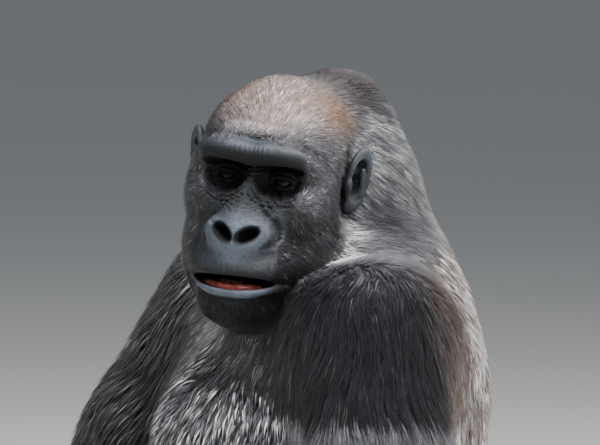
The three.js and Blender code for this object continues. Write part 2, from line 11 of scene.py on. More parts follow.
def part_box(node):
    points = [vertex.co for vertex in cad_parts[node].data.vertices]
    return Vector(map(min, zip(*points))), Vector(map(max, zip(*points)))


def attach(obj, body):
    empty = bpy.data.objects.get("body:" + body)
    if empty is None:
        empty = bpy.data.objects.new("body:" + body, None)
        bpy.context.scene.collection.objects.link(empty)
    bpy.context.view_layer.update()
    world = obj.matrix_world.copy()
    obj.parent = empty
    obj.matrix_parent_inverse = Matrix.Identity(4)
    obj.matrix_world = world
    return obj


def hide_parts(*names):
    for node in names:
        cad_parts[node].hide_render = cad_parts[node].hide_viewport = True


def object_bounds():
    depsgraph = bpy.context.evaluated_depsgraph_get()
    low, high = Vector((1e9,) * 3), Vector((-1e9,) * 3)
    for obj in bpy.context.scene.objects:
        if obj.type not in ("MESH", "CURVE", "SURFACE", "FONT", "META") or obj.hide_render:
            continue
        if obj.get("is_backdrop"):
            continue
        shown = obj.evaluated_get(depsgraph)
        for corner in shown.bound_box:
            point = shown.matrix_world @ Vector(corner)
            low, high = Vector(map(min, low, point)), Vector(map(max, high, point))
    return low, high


# A seated adult female gorilla: one skin, its coat as tufts in solid mesh, eyes, mouth and nails.
# Anatomy is in millimetres: it faces -Y, its own left is +X, the floor is at z 0.

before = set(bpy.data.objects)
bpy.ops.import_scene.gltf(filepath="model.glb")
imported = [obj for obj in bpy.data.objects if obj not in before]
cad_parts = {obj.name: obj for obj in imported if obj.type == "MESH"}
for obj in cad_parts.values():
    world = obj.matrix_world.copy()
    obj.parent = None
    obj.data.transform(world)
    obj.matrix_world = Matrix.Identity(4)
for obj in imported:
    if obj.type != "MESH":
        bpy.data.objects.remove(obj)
cadLow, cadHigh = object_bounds()
started = time.time()


def report(stage):
    print("%5.1f s  %s" % (time.time() - started, stage), flush=True)


# Pose and build of the body

def smooth(low, high, v):
    t = np.clip((v - low) / (high - low), 0, 1)
    return t * t * (3 - 2 * t)


body = {
    "left": {
        "side": 1, "shoulder": (165, -35, 512), "elbow": (312, -99, 205), "wrist": (312, -372, 92),
        "hip": (88, 60, 108), "knee": (152, -222, 210), "ankle": (112, -340, 62),
        "handTurn": 4, "footTurn": 12,
    },
    "right": {
        "side": -1, "shoulder": (-165, -6, 528), "elbow": (-312, -140, 232), "wrist": (-314, -402, 92),
        "hip": (-88, 60, 108), "knee": (-156, -214, 206), "ankle": (-118, -332, 62),
        "handTurn": -5, "footTurn": -14,
    },
}
head = {
    "eyes": (80, -122, 690),  # midway between the corneas, the origin of the head's own frame
    "turn": 46, "roll": 7.5, "nod": 3,
    "eyesApart": 59, "eyeBack": 13.2, "eyeRadius": 13.0,
}

headTurn = (Matrix.Rotation(math.radians(head["turn"]), 3, "Z")
            @ Matrix.Rotation(math.radians(head["roll"]), 3, "Y")
            @ Matrix.Rotation(math.radians(head["nod"]), 3, "X"))
headAxes = np.array(headTurn, np.float32)
headOrigin = np.array(head["eyes"], np.float32)


def toHead(p):
    return (p - headOrigin) @ headAxes


def fromHead(q):
    return np.asarray(q, np.float32) @ headAxes.T + headOrigin


eyeCentre = {side: np.array([head["eyesApart"] / 2 * side, head["eyeBack"], 0]) for side in (1, -1)}
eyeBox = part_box("eye_left")
shift = (np.array(eyeBox[0]) + np.array(eyeBox[1])) / 2 - fromHead(eyeCentre[1]) / 1000


def toFrame(p):
    # millimetres of the anatomy to metres of the frame
    return np.asarray(p, np.float64) / 1000 + shift


# Masses: each gives the distance of points from its surface, below zero inside

def join(a, b, soft):
    near = np.maximum(soft - np.abs(a - b), 0) / soft
    return np.minimum(a, b) - near * near * soft / 4


def carve(a, b, soft):
    return -join(-a, b, soft)


def ball(centre, radii, soft, hair="bare"):
    centre, radii = np.array(centre, np.float32), np.array(radii, np.float32)

    def at(p):
        q = p - centre
        scaled = np.sqrt(((q / radii) ** 2).sum(1))
        slope = np.sqrt(((q / radii ** 2) ** 2).sum(1)) + 1e-9
        return scaled * (scaled - 1) / slope

    return {"at": at, "low": centre - radii, "high": centre + radii, "soft": soft, "hair": hair,
            "lie": None}


def bar(a, b, ra, rb, soft, hair="bare"):
    a, b = np.array(a, np.float32), np.array(b, np.float32)
    along = b - a

    def at(p):
        q = p - a
        t = np.clip(q @ along / (along @ along), 0, 1)
        return np.sqrt(((q - t[:, None] * along) ** 2).sum(1)) - (ra + (rb - ra) * t)

    r = max(ra, rb)
    return {"at": at, "low": np.minimum(a, b) - r, "high": np.maximum(a, b) + r, "soft": soft,
            "hair": hair, "lie": along / np.linalg.norm(along)}


farAway = 200.0


def within(p, low, high, margin):
    return ((p > low - margin) & (p < high + margin)).all(1)


def flowed(masses, p, start=None):
    d = np.full(len(p), farAway, np.float32) if start is None else start
    for mass in masses:
        near = within(p, mass["low"], mass["high"], mass["soft"] + 45)
        if near.any():
            d[near] = join(d[near], mass["at"](p[near]), mass["soft"])
    return d


def between(a, b, t):
    return tuple(x + (y - x) * t for x, y in zip(a, b))


def placed(root, turn, side):
    # a point of a hand or foot: x outwards, y back, z up from the floor
    c, s = math.cos(math.radians(turn)), math.sin(math.radians(turn))
    return lambda v: (root[0] + v[0] * side * c - v[1] * s, root[1] + v[0] * side * s + v[1] * c, v[2])


trunkMasses = [
    ball((0, 62, 112), (165, 132, 116), 40, "rump"),
    ball((0, 34, 215), (176, 134, 120), 50, "belly"),
    ball((0, -8, 265), (190, 168, 160), 60, "belly"),
    ball((0, 0, 400), (182, 166, 125), 60, "belly"),
    ball((0, 46, 505), (165, 104, 120), 50, "back"),
    bar((0, 58, 545), (-21, 44, 665), 89, 72, 50, "nape"),
    bar((-21, 44, 665), (-30, 41, 736), 72, 58, 30, "nape"),
    bar((34, -66, 602), (4, -12, 520), 60, 80, 40, "chest"),
    ball((66, -52, 478), (84, 60, 80), 40, "chest"),
    ball((-66, -42, 476), (84, 60, 80), 40, "chest"),
    bar((24, 70, 594), (135, -10, 532), 46, 57, 35, "shoulder"),
    bar((-40, 45, 620), (-138, 8, 540), 50, 57, 45, "shoulder"),
    bar((90, 60, 460), (150, -5, 515), 62, 62, 45, "shoulder"),
    bar((-90, 66, 470), (-150, 6, 530), 62, 62, 45, "shoulder"),
]


def armMasses(limb):
    biceps = between(limb["shoulder"], limb["elbow"], 0.45)
    swell = between(limb["elbow"], limb["wrist"], 0.3)
    return [
        bar(limb["shoulder"], biceps, 78, 72, 45, "upperArm"),
        bar(biceps, limb["elbow"], 72, 52, 20, "upperArm"),
        bar(limb["elbow"], swell, 50, 53, 20, "forearm"),
        bar(swell, limb["wrist"], 53, 34, 20, "forearm"),
    ]


def legMasses(limb):
    calf = between(limb["knee"], limb["ankle"], 0.35)
    return [
        bar(limb["hip"], limb["knee"], 90, 60, 40, "thigh"),
        bar(limb["knee"], calf, 58, 55, 20, "shin"),
        bar(calf, limb["ankle"], 55, 36, 20, "shin"),
    ]


hand = {"knuckles": (-27, -9, 9, 26), "fingerRadius": 12.6}
foot = {"toes": ((-10, 172), (9, 178), (27, 168), (43, 150)), "toeRadius": 11.8}


def handMasses(limb):
    put = placed(limb["wrist"], limb["handTurn"], limb["side"])
    r = hand["fingerRadius"]
    made = [bar(put((x * 0.7, 2, 88)), put((x, -58, 58)), 19, 16, 12, "hand") for x in hand["knuckles"]]
    made.append(bar(put((-22, -4, 80)), put((-36, -26, 58)), 17, 15, 12, "hand"))
    for x in hand["knuckles"]:
        made.append(bar(put((x, -58, 58)), put((x * 1.02, -76, r + 6)), 15.5, 12.4, 5, "finger"))
        made.append(bar(put((x * 1.02, -74, r - 1)), put((x * 0.98, -34, r - 2.4)), r, r - 1.6, 3,
                        "finger"))
        made.append(ball(put((x, -63, 60)), (9.5, 12, 12), 6, "finger"))
    made.append(bar(put((-34, -24, 60)), put((-52, -46, 36)), 12.6, 9.6, 6, "finger"))
    return made


def footMasses(limb):
    put = placed(limb["ankle"], limb["footTurn"], limb["side"])
    r = foot["toeRadius"]
    made = [
        bar(put((0, 34, 30)), put((2, -60, 32)), 31, 28, 20, "foot"),
        bar(put((0, -10, 55)), put((4, -95, 30)), 31, 25, 20, "foot"),
        bar(put((-26, -60, 24)), put((-8, -60, 24)), 24, 24, 15, "foot"),
        bar(put((-14, -100, 22)), put((34, -95, 20)), 22, 19, 15, "foot"),
        bar(put((-26, -66, 22)), put((-47, -122, 15)), 18.6, 14.6, 8, "finger"),
    ]
    for x, length in foot["toes"]:
        made.append(bar(put((x, -98, r + 5)), put((x, -length + 34, r + 2)), r, r - 1.2, 4, "finger"))
        made.append(bar(put((x, -length + 34, r + 2)), put((x, 12 - length, r - 2)), r - 0.6, r - 1.4, 3,
                        "finger"))
    return made


# the head's masses are in its own frame; the paired ones are mirrored
middleHead = [
    ball((0, 97, 30), (65, 88, 58), 30, "crown"),
    ball((0, 120, 48), (38, 56, 38), 30, "crown"),
    ball((0, 8, -60), (46, 52, 60), 25, "face"),
    ball((0, -8, -86), (51, 55, 36), 22, "face"),
    ball((0, 4, -126), (45, 47, 32), 18, "chin"),
    ball((0, 56, -92), (56, 60, 56), 30, "throat"),
    bar((0, 0, 4), (0, -24, -34), 10, 15, 16, "face"),
    ball((0, -37, -48), (23, 22, 20), 10, "face"),
    ball((0, -41, -62), (31, 23, 18), 9, "face"),
    ball((0, -10, -92), (50, 52, 14), 12, "face"),
]


def curve(points, count):
    # more points on a smooth line through (x, y, z, radius) points
    points = np.array(points, np.float32)
    ends = np.vstack([2 * points[0] - points[1], points, 2 * points[-1] - points[-2]])
    at = np.linspace(0, len(points) - 1.001, count)
    i, t = at.astype(int), (at % 1)[:, None]
    a, b, c, d = ends[i], ends[i + 1], ends[i + 2], ends[i + 3]
    return 0.5 * (2 * b + (c - a) * t + (2 * a - 5 * b + 4 * c - d) * t ** 2
                  + (3 * b - a - 3 * c + d) * t ** 3)


def tube(points, soft, hair="bare"):
    # a roll of changing thickness along a smooth line
    line = curve(points, 4 * len(points))
    lengths = [bar(a[:3], b[:3], a[3], b[3], 1) for a, b in zip(line, line[1:])]

    def at(p):
        return np.min([length["at"](p) for length in lengths], 0)

    return {"at": at, "low": np.min([l["low"] for l in lengths], 0), "soft": soft, "hair": hair,
            "high": np.max([l["high"] for l in lengths], 0), "lie": None}


brow = ((-15, -18, 28, 12), (0, -17, 27, 11.5), (16, -17.5, 28.5, 12.5), (33, -14, 28.5, 13.2),
        (47, -4, 24, 12.6), (57, 8, 14, 11), (60.5, 14, 1, 9.8), (58, 13, -13, 9))
lowerLip = ((-15, -54, -114, 5.6), (0, -57, -114.6, 5.8), (15, -54, -114, 5.8), (30, -43.5, -111, 5.4),
            (41, -30, -107, 4.4), (48, -18, -104, 3))
pairedHead = [
    ball((43, 72, 10), (27, 62, 55), 25, "temple"),
    ball((26, 150, 44), (38, 54, 35), 30, "temple"),
    ball((50, 52, -70), (24, 45, 58), 30, "cheek"),
    ball((48, 14, -24), (24, 26, 24), 22, "face"),
    bar((-30, 7, 43), (30, 7, 43), 12, 12, 10, "crown"),
    tube(brow, 13, "face"),
    ball((21, -37, -55), (16.5, 17, 15.5), 7, "face"),     # wing of the nose
    ball((29, -33, -54), (9, 14, 12), 5, "face"),
    tube(lowerLip, 4, "face"),
]
orbit = ball((29, -9, -1), (23, 21, 14), 7)
underBrow = ball((30, -7, 13), (25, 20, 7), 4)
lids = ball((29.5, 13.8, -0.5), (17, 15.8, 13.4), 5)
eyeSlit = ball((29.5, -4, -1.4), (13.4, 13, 5.2), 1.6)
nostril = {"at": (13.2, -57, -53), "radii": (13, 20, 6.8), "tilt": 31}
nostrilHole = ball((0, 0, 0), nostril["radii"], 4.5)
septum = bar((0, -54, -46), (0, -54, -66), 3.6, 3.6, 4)
mouthSlot = ball((-2.4, -20, -103.2), (46, 60, 10.4), 2.5)
mouthTilt = 0.048  # its left corner stands higher


def nostrilAt(h):
    # distance from the nostril, in its own tilted frame
    tilt = math.radians(nostril["tilt"])
    local = h - np.array(nostril["at"], np.float32)
    local = np.stack([local[:, 0] * math.cos(tilt) + local[:, 2] * math.sin(tilt), local[:, 1],
                      local[:, 2] * math.cos(tilt) - local[:, 0] * math.sin(tilt)], 1)
    return nostrilHole["at"](local.astype(np.float32))


def headField(q):
    d = flowed(middleHead, q)
    half = q.copy()
    half[:, 0] = np.abs(half[:, 0])
    d = flowed(pairedHead, half, d)
    near = within(half, np.array((0, -80, -130)), np.array((70, 50, 40)), 0)
    h = half[near]
    e = d[near]
    e = carve(e, orbit["at"](h), orbit["soft"])
    e = carve(e, underBrow["at"](h), underBrow["soft"])
    e = join(e, lids["at"](h), lids["soft"])
    e = carve(e, eyeSlit["at"](h), eyeSlit["soft"])
    e = carve(e, nostrilAt(h), nostrilHole["soft"])
    e = join(e, septum["at"](h), septum["soft"])
    bent = h - np.array((0, 0, mouthTilt), np.float32) * q[near][:, :1]
    e = carve(e, mouthSlot["at"](bent), mouthSlot["soft"])
    d[near] = e
    return d


# an ear lies in its own frame: x outwards, y back, z up
ear = {"at": (86.5, 96, 1), "thick": 4.2, "width": 15, "height": 32, "rim": 3.6, "flare": 34, "lean": 8,
       "splay": 5}
earAxes = np.array(Matrix.Rotation(math.radians(ear["splay"]), 3, "Y")
                   @ Matrix.Rotation(math.radians(-ear["lean"]), 3, "X")
                   @ Matrix.Rotation(math.radians(-ear["flare"]), 3, "Z"), np.float32)
earDisc = ball((0, 0, 0), (ear["thick"], ear["width"], ear["height"]), 1)
earRoot = ball((-11, -7, -3), (13, 12, 20), 5)
earBowl = ball((6.5, -3, -5), (11, 8.5, 14), 3)
earHollow = ball((6.5, -0.5, 15), (8, 9, 10.5), 3)
earRidge = bar((2.5, 8, -14), (4, 2.5, 11), 2.2, 2.6, 3)
earLobe = ball((1, -4, -30), (4.6, 7.5, 8), 4)
tragus = ball((3, -13, -8), (5, 4, 7), 4)


def earField(half):
    p = (half - np.array(ear["at"], np.float32)) @ earAxes
    ring = np.hypot(p[:, 1] / ear["width"], p[:, 2] / ear["height"]) - 0.9
    rim = np.hypot(ring * 18, p[:, 0] - 2.8) - ear["rim"] * (0.6 + 0.4 * smooth(-6, 20, p[:, 2]))
    d = join(earDisc["at"](p), earRoot["at"](p), earRoot["soft"])
    for hollow in (earBowl, earHollow):
        d = carve(d, hollow["at"](p), hollow["soft"])
    d = join(d, rim, 3)
    for lump in (earRidge, earLobe, tragus):
        d = join(d, lump["at"](p), lump["soft"])
    return d


limbs = [(armMasses(limb) + handMasses(limb), 45) for limb in body.values()]
limbs += [(legMasses(limb) + footMasses(limb), 40) for limb in body.values()]
headReach = 260


def bodyField(p):
    p = np.asarray(p, np.float32)
    d = flowed(trunkMasses, p)
    near = within(p, headOrigin, headOrigin, headReach)
    if near.any():
        q = toHead(p[near])
        dressed = join(d[near], headField(q), 26)
        half = np.stack([np.abs(q[:, 0]), q[:, 1], q[:, 2]], 1)
        atEar = within(half, np.array(ear["at"]), np.array(ear["at"]), 55)
        dressed[atEar] = join(dressed[atEar], earField(half[atEar]), 5)
        d[near] = dressed
    made = d.copy()
    for masses, soft in limbs:
        low = np.min([m["low"] for m in masses], 0)
        high = np.max([m["high"] for m in masses], 0)
        near = within(p, low, high, soft + 30)
        if near.any():
            made[near] = np.minimum(made[near], join(d[near], flowed(masses, p[near]), soft))
    return made


def slopeOf(field, p, step=0.6):
    axes = np.eye(3, dtype=np.float32) * step
    return np.stack([(field(p + a) - field(p - a)) / (2 * step) for a in axes], 1)


def settle(field, p, rounds=3):
    # down the slope of the field to its surface
    for _ in range(rounds):
        g = slopeOf(field, p)
        p = p - g * (field(p) / np.maximum((g * g).sum(1), 0.3))[:, None]
    return p


# The skin: one closed surface of the whole body, finest at the face

skinGrid = {"face": 2.4, "digits": 4.0, "trunk": 8.0, "coarse": 4}
faceBand = {"x": (-62, 185), "y": (-215, 34), "z": (520, 775)}  # slabs with the finest grid


def gridLine(low, high, bands, default):
    at = [low]
    while at[-1] < high:
        step = min([size for a, b, size in bands if a <= at[-1] < b] + [default])
        at.append(at[-1] + step)
    return np.array(at, np.float32)


def makeSkin():
    fine, digits, trunk = skinGrid["face"], skinGrid["digits"], skinGrid["trunk"]
    lines = [
        gridLine(-420, 420, [(*faceBand["x"], fine), (60, 170, digits), (-170, -60, digits),
                             (262, 362, digits), (-362, -262, digits)], trunk),
        gridLine(-560, 230, [(-540, -300, digits), (*faceBand["y"], fine)], trunk),
        gridLine(-20, 840, [(-20, 110, digits), (*faceBand["z"], fine)], trunk),
    ]
    n = [len(line) for line in lines]
    skip = skinGrid["coarse"]
    coarse = [line[::skip] for line in lines]
    blocks = np.stack(np.meshgrid(*coarse, indexing="ij"), -1).reshape(-1, 3)
    rough = bodyField(blocks).reshape([len(c) for c in coarse])
    values = rough
    for axis in range(3):
        values = np.repeat(values, skip, axis)
    values = np.ascontiguousarray(values[: n[0], : n[1], : n[2]])
    active = np.nonzero(np.abs(values) < skip * trunk * 1.3)
    points = np.stack([lines[axis][active[axis]] for axis in range(3)], 1)
    report("skin grid %s, %d points near the surface" % (n, len(points)))
    values[active] = bodyField(points)
    grid = openvdb.FloatGrid(farAway)
    grid.copyFromArray(values)
    found, quads = grid.convertToQuads(0.0)
    found = np.stack([np.interp(found[:, axis], np.arange(n[axis]), lines[axis]) for axis in range(3)], 1)
    return found.astype(np.float32), quads


fleshNodes = ["face", "skull", "jaw", "neck", "chest", "abdomen"]
for sideName in body:
    fleshNodes += [part + "_" + sideName for part in (
        "ear", "upper_arm", "forearm", "palm", "thumb", "index_finger", "middle_finger", "ring_finger",
        "little_finger", "thigh", "shin", "foot", "big_toe", "second_toe", "third_toe", "fourth_toe",
        "fifth_toe")]


def meshObject(name, points, faces, smooth=True):
    mesh = bpy.data.meshes.new(name)
    faces = faces.tolist() if hasattr(faces, "tolist") else faces
    mesh.from_pydata(np.asarray(points, np.float64).tolist(), [], faces)
    if smooth:
        mesh.shade_smooth()
    made = bpy.data.objects.new(name, mesh)
    bpy.context.scene.collection.objects.link(made)
    return made


# half width of the bare face at each height of the head, in the head's own frame
bareFace = {"z": (-128, -121, -112, -100, -77, -34, 0, 25, 34, 38, 42, 46),
            "x": (-8, 18, 42, 48, 47, 48, 53, 59, 54, 40, 16, -12)}


def faceBareness(q):
    edge = np.interp(q[:, 2], bareFace["z"], bareFace["x"])
    soft = 6 + 7 * smooth(-20, -50, q[:, 2])
    return smooth(edge + soft, edge - soft, np.abs(q[:, 0])) * smooth(62, 40, q[:, 1])


def earBareness(q):
    half = q.copy()
    half[:, 0] = np.abs(half[:, 0])
    return smooth(4, 1, earField(half))


def limbBareness(p):
    bare = np.zeros(len(p), np.float32)
    for limb in body.values():
        for end, before, share in (("wrist", "elbow", 0.90), ("ankle", "knee", 0.93)):
            a, b = np.array(limb[before]), np.array(limb[end])
            edge = a + (b - a) * share
            along = (p - edge) @ ((b - a) / np.linalg.norm(b - a))
            near = np.linalg.norm((p - b)[:, :2], axis=1) < 210
            near &= np.sign(p[:, 0]) == limb["side"]
            low = smooth(-12, 22, along) * smooth(128, 92, p[:, 2])
            bare = np.maximum(bare, low * near)
    return bare


def bareness(p):
    q = toHead(p)
    near = within(p, headOrigin, headOrigin, headReach)
    bare = limbBareness(p)
    bare[near] = np.maximum(bare[near], np.maximum(faceBareness(q[near]), earBareness(q[near])))
    return bare


# folds of the face: paths in x and z of the head's frame, then depth and width; all are mirrored
def arc(cx, cz, rx, rz, start, end, count=9):
    turn = np.radians(np.linspace(start, end, count))
    return np.stack([cx + rx * np.cos(turn), cz + rz * np.sin(turn)], 1)


folds = []
for z in (49, 53.5, 58.5, 64):
    folds.append((arc(0, z - 62, 60, 62, 52, 90), 1.2, 1.9))                 # furrows of the forehead
for x in (2.5, 7.5, 12.5, 17.5):
    # creases between the brows
    folds.append((np.array(((x, 37), (x * 0.95, 27 - x * 0.2))), 0.5, 1.2))
for z in (17, 12.5, 8, 3.5, -1):
    folds.append((np.array(((0, z), (6, z + 0.6), (9, z + 2))), 0.9, 1.3))    # root of the nose
for i, r in enumerate((13.5, 17.5, 22, 27, 32.5)):
    folds.append((arc(29.5, 0, r, r * 0.78, 192, 335), 1.8 - 0.16 * i, 1.5))  # bags under the eye
folds.append((arc(29.5, -1, 15, 9, 15, 165), 1.3, 1.3))                       # folds of the upper lid
folds.append((arc(29.5, 1, 19, 12, 20, 160), 0.8, 1.4))
for i in range(4):
    start = 3 + 3.2 * i
    folds.append((np.array(((start, -5 + 1.2 * i), (start + 8, -13 + 2 * i), (start + 18, -26 + 3.4 * i),
                            # from the corner down the nose
                            (start + 25, -38 + 6 * i))), 2.4 - 0.25 * i, 1.6))
for i in range(5):
    z = -14 - 4.2 * i
    folds.append((np.array(((0, z), (8, z - 1), (16 + i, z + 3))), 0.6, 1.3))   # across the bridge
# wing of the nose
folds.append((np.array(((27, -33), (34, -40), (38, -48), (38.5, -56), (35.5, -63), (30, -69))), 2.6, 2.8))
folds.append((np.array(((22, -46), (27, -43.5), (32, -43))), 1.0, 1.6))       # outer end of the nostril
folds.append((np.array(((40, -58), (46, -70), (49, -84), (47, -97))), 1.4, 2.6))    # beside the upper lip
folds.append((np.array(((44, -47), (51, -62), (54, -80))), 1.0, 2.2))
for i in range(4):
    z = 2 - 7 * i
    # outer corner
    folds.append((np.array(((44, z), (52, z - 2 - 2.4 * i), (60, z - 5 - 4 * i))), 0.9, 1.6))
for i in range(9):
    folds.append((np.array(((3 + 5 * i, -84), (3.3 + 5.2 * i, -95))), 0.22, 1.2))   # upper lip
folds.append((arc(0, -96, 48, 25, 226, 270), 1.4, 2.4))                        # under the lower lip


def alongPath(p, path):
    # distance of flat points from a path, and how near the middle of the path they are
    best = np.full(len(p), farAway, np.float32)
    middle = np.zeros(len(p), np.float32)
    count = len(path) - 1
    for i, (a, b) in enumerate(zip(path, path[1:])):
        t = np.clip((p - a) @ (b - a) / ((b - a) @ (b - a)), 0, 1)
        d = np.linalg.norm(p - a - t[:, None] * (b - a), axis=1)
        closer = d < best
        best[closer] = d[closer]
        middle[closer] = (1 - np.abs(2 * (i + t) / count - 1))[closer]
    return best, middle


def folded(q):
    # how far the skin of the face rises or sinks at a point of the head
    flat = np.stack([np.abs(q[:, 0]), q[:, 2]], 1)
    wander = np.sin(q[:, 0] * 0.31 + q[:, 2] * 0.13) + np.sin(q[:, 2] * 0.27 - q[:, 0] * 0.17)
    flat += wander[:, None] * np.array((0.5, -0.5))
    rise = np.zeros(len(q), np.float32)
    for path, depth, width in folds:
        away, middle = alongPath(flat, path)
        away = away / width
        fade = smooth(-0.05, 0.45, middle)
        rise += depth * fade * (0.4 * np.exp(-((away - 1.9) / 0.9) ** 2) - np.exp(-away ** 2))
    forehead = smooth(34, 44, q[:, 2]) * smooth(70, 62, q[:, 2]) * smooth(58, 40, flat[:, 0])
    return np.maximum(rise, -3.2) * smooth(34, 14, q[:, 1]) * np.maximum(faceBareness(q), forehead)


def thinned(made, weights, share):
    # fewer faces where the coat hides the skin
    group = made.vertex_groups.new(name="covered")
    for level in np.unique(np.round(weights, 1)):
        chosen = np.nonzero(np.round(weights, 1) == level)[0]
        group.add(chosen.tolist(), float(level), "REPLACE")
    fewer = made.modifiers.new("fewer", "DECIMATE")
    fewer.ratio, fewer.vertex_group, fewer.vertex_group_factor = share, "covered", 1.0
    mesh = bpy.data.meshes.new_from_object(made.evaluated_get(bpy.context.evaluated_depsgraph_get()))
    made.modifiers.remove(fewer)
    made.vertex_groups.clear()
    made.data = mesh


def pointsOf(mesh):
    co = np.empty(len(mesh.vertices) * 3, np.float32)
    mesh.vertices.foreach_get("co", co)
    return co.reshape(-1, 3)


def split(made, chosen):
    # quarters each face whose every corner is chosen
    bm = bmesh.new()
    bm.from_mesh(made.data)
    bm.verts.ensure_lookup_table()
    edges = [e for e in bm.edges if chosen[e.verts[0].index] and chosen[e.verts[1].index]]
    bmesh.ops.subdivide_edges(bm, edges=edges, cuts=1, use_grid_fill=True)
    bmesh.ops.triangulate(bm, faces=[f for f in bm.faces if len(f.verts) > 4])
    bm.to_mesh(made.data)
    bm.free()


points, quads = makeSkin()
report("skin surface: %d quads" % len(quads))
points = settle(bodyField, points, 2)
skin = meshObject("skin", points, quads[:, ::-1])
bare = bareness(points)
thinned(skin, 1 - smooth(0.0, 0.3, bare), 0.25)
report("skin thinned: %d faces" % len(skin.data.polygons))
q = toHead(pointsOf(skin.data))
split(skin, (faceBareness(q) > 0.4) & within(q, 0, 0, 130))
q = toHead(pointsOf(skin.data))
split(skin, (np.abs(q[:, 0]) < 46) & (np.abs(q[:, 2] + 10) < 22) & (q[:, 1] < 8) & (q[:, 1] > -60))
points = settle(bodyField, pointsOf(skin.data), 2)
onFace = np.nonzero(within(points, headOrigin, headOrigin, 150))[0]
facePoints = toHead(points[onFace])
outward = slopeOf(bodyField, points[onFace])
outward /= np.linalg.norm(outward, axis=1)[:, None] + 1e-6
points[onFace] += outward * folded(facePoints)[:, None]
points[:, 2] = np.maximum(points[:, 2], 0.15)  # flat where it rests on the floor
report("skin split and folded: %d faces" % len(skin.data.polygons))
skin.data.vertices.foreach_set("co", toFrame(points).astype(np.float32).ravel())
skin.data.shade_smooth()
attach(skin, "root")
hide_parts(*fleshNodes)


# The coat

# each kind of hair: length and depth in mm, the way it lies (head kinds in the head's frame,
# x away from the middle; None follows the limb), clumping, and its share of each colour:
# grey, chestnut, brown, pale
hairs = {
    "crown": {"length": 13, "depth": 5, "lie": (0.05, 1, 0.1), "clump": 0.2,
              "colourShares": (0.42, 0.45, 0.15, 0.16)},
    "temple": {"length": 15, "depth": 6, "lie": (0.1, 0.9, -0.45), "clump": 0.25,
               "colourShares": (0.8, 0.05, 0.1, 0.24)},
    "cheek": {"length": 20, "depth": 7, "lie": (0.15, 0.75, -0.8), "clump": 0.3,
              "colourShares": (0.5, 0, 0.25, 0.16)},
    "throat": {"length": 24, "depth": 8, "lie": (0.1, 0.5, -1), "clump": 0.3,
               "colourShares": (0.12, 0, 0.3, 0.03)},
    # the chin's hair is black, and kept free of grey and brown as painted shade under the jaw
    "chin": {"length": 14, "depth": 4, "lie": (0.1, 0.1, -1), "clump": 0.3, "colourShares": (0, 0, 0, 0)},
    "face": {"length": 12, "depth": 3, "lie": (0.2, 0.9, -0.5), "clump": 0.2, "colourShares": (0.4, 0, 0.2, 0.1)},
    "nape": {"length": 30, "depth": 11, "lie": (0.1, 0.6, -1), "clump": 0.4, "colourShares": (0.8, 0, 0.15, 0.3)},
    "back": {"length": 34, "depth": 14, "lie": (0.15, 0.25, -1), "clump": 0.4,
             "colourShares": (0.9, 0.2, 0.1, 0.4)},
    "shoulder": {"length": 38, "depth": 14, "lie": (0.75, -0.15, -0.75), "clump": 0.5,
                 "colourShares": (0.95, 0, 0, 0.08)},
    "chest": {"length": 24, "depth": 6, "lie": (0.3, -0.2, -1), "clump": 0.4, "colourShares": (1, 0, 0, 0.4)},
    "belly": {"length": 30, "depth": 11, "lie": (0.2, 0, -1), "clump": 0.45, "colourShares": (0.5, 0, 0.2, 0.08)},
    "rump": {"length": 34, "depth": 12, "lie": (0.3, 0.3, -1), "clump": 0.45,
             "colourShares": (0.35, 0, 0.3, 0.04)},
    "upperArm": {"length": 46, "depth": 14, "lie": None, "clump": 0.55, "colourShares": (0.95, 0, 0, 0.06)},
    "forearm": {"length": 52, "depth": 16, "lie": None, "clump": 0.55, "colourShares": (0.5, 0, 0.3, 0.03)},
    "thigh": {"length": 40, "depth": 12, "lie": None, "clump": 0.5, "colourShares": (0.1, 0, 0.3, 0)},
    "shin": {"length": 36, "depth": 12, "lie": None, "clump": 0.5, "colourShares": (0.05, 0, 0.3, 0)},
    "hand": {"length": 14, "depth": 3, "lie": None, "clump": 0.3, "colourShares": (0, 0, 0.2, 0)},
    "foot": {"length": 14, "depth": 3, "lie": (0, -1, -0.2), "clump": 0.3, "colourShares": (0, 0, 0.2, 0)},
    "finger": {"length": 8, "depth": 2, "lie": (0, -0.3, -1), "clump": 0.3, "colourShares": (0, 0, 0.2, 0)},
}
kinds = list(hairs)
headKinds = ("crown", "temple", "cheek", "throat", "chin", "face")
limbMasses = {side: (armMasses(limb) + handMasses(limb), legMasses(limb) + footMasses(limb))
              for side, limb in body.items()}


def hairAt(p):
    # share of each kind of hair at points of the body, and the way the hair lies there
    p = np.asarray(p, np.float32)
    q = toHead(p)
    away = np.full((len(p), len(kinds)), farAway, np.float32)
    lies = np.zeros((len(kinds), len(p), 3), np.float32)
    outwards = np.tanh(p[:, 0] / 30)
    headOutwards = np.tanh(q[:, 0] / 12)
    for i, kind in enumerate(kinds):
        lie = hairs[kind]["lie"]
        if lie is None:
            continue
        sided = np.stack([lie[0] * (headOutwards if kind in headKinds else outwards),
                          np.full(len(p), lie[1]), np.full(len(p), lie[2])], 1)
        lies[i] = sided @ headAxes.T if kind in headKinds else sided
    for group, points in ((middleHead, q), (pairedHead, np.abs(q) * (1, 0, 0) + q * (0, 1, 1)),
                          (trunkMasses, p)):
        for mass in group:
            i = kinds.index(mass["hair"])
            away[:, i] = np.minimum(away[:, i], mass["at"](points.astype(np.float32)))
    for arm, leg in limbMasses.values():
        for mass in arm + leg:
            i = kinds.index(mass["hair"])
            d = mass["at"](p)
            closer = d < away[:, i]
            away[closer, i] = d[closer]
            if hairs[mass["hair"]]["lie"] is None:
                towards = -0.8 if mass["hair"] == "forearm" else 1
                lies[i, closer] = mass["lie"] * towards + np.array((0, 0, -0.35))
    share = np.exp(-np.maximum(away - away.min(1)[:, None], 0) / 16)
    share /= share.sum(1)[:, None]
    lie = np.einsum("nk,knc->nc", share, lies)
    return share, lie


def hairValue(share, name):
    return share @ np.array([hairs[kind][name] for kind in kinds], np.float32)


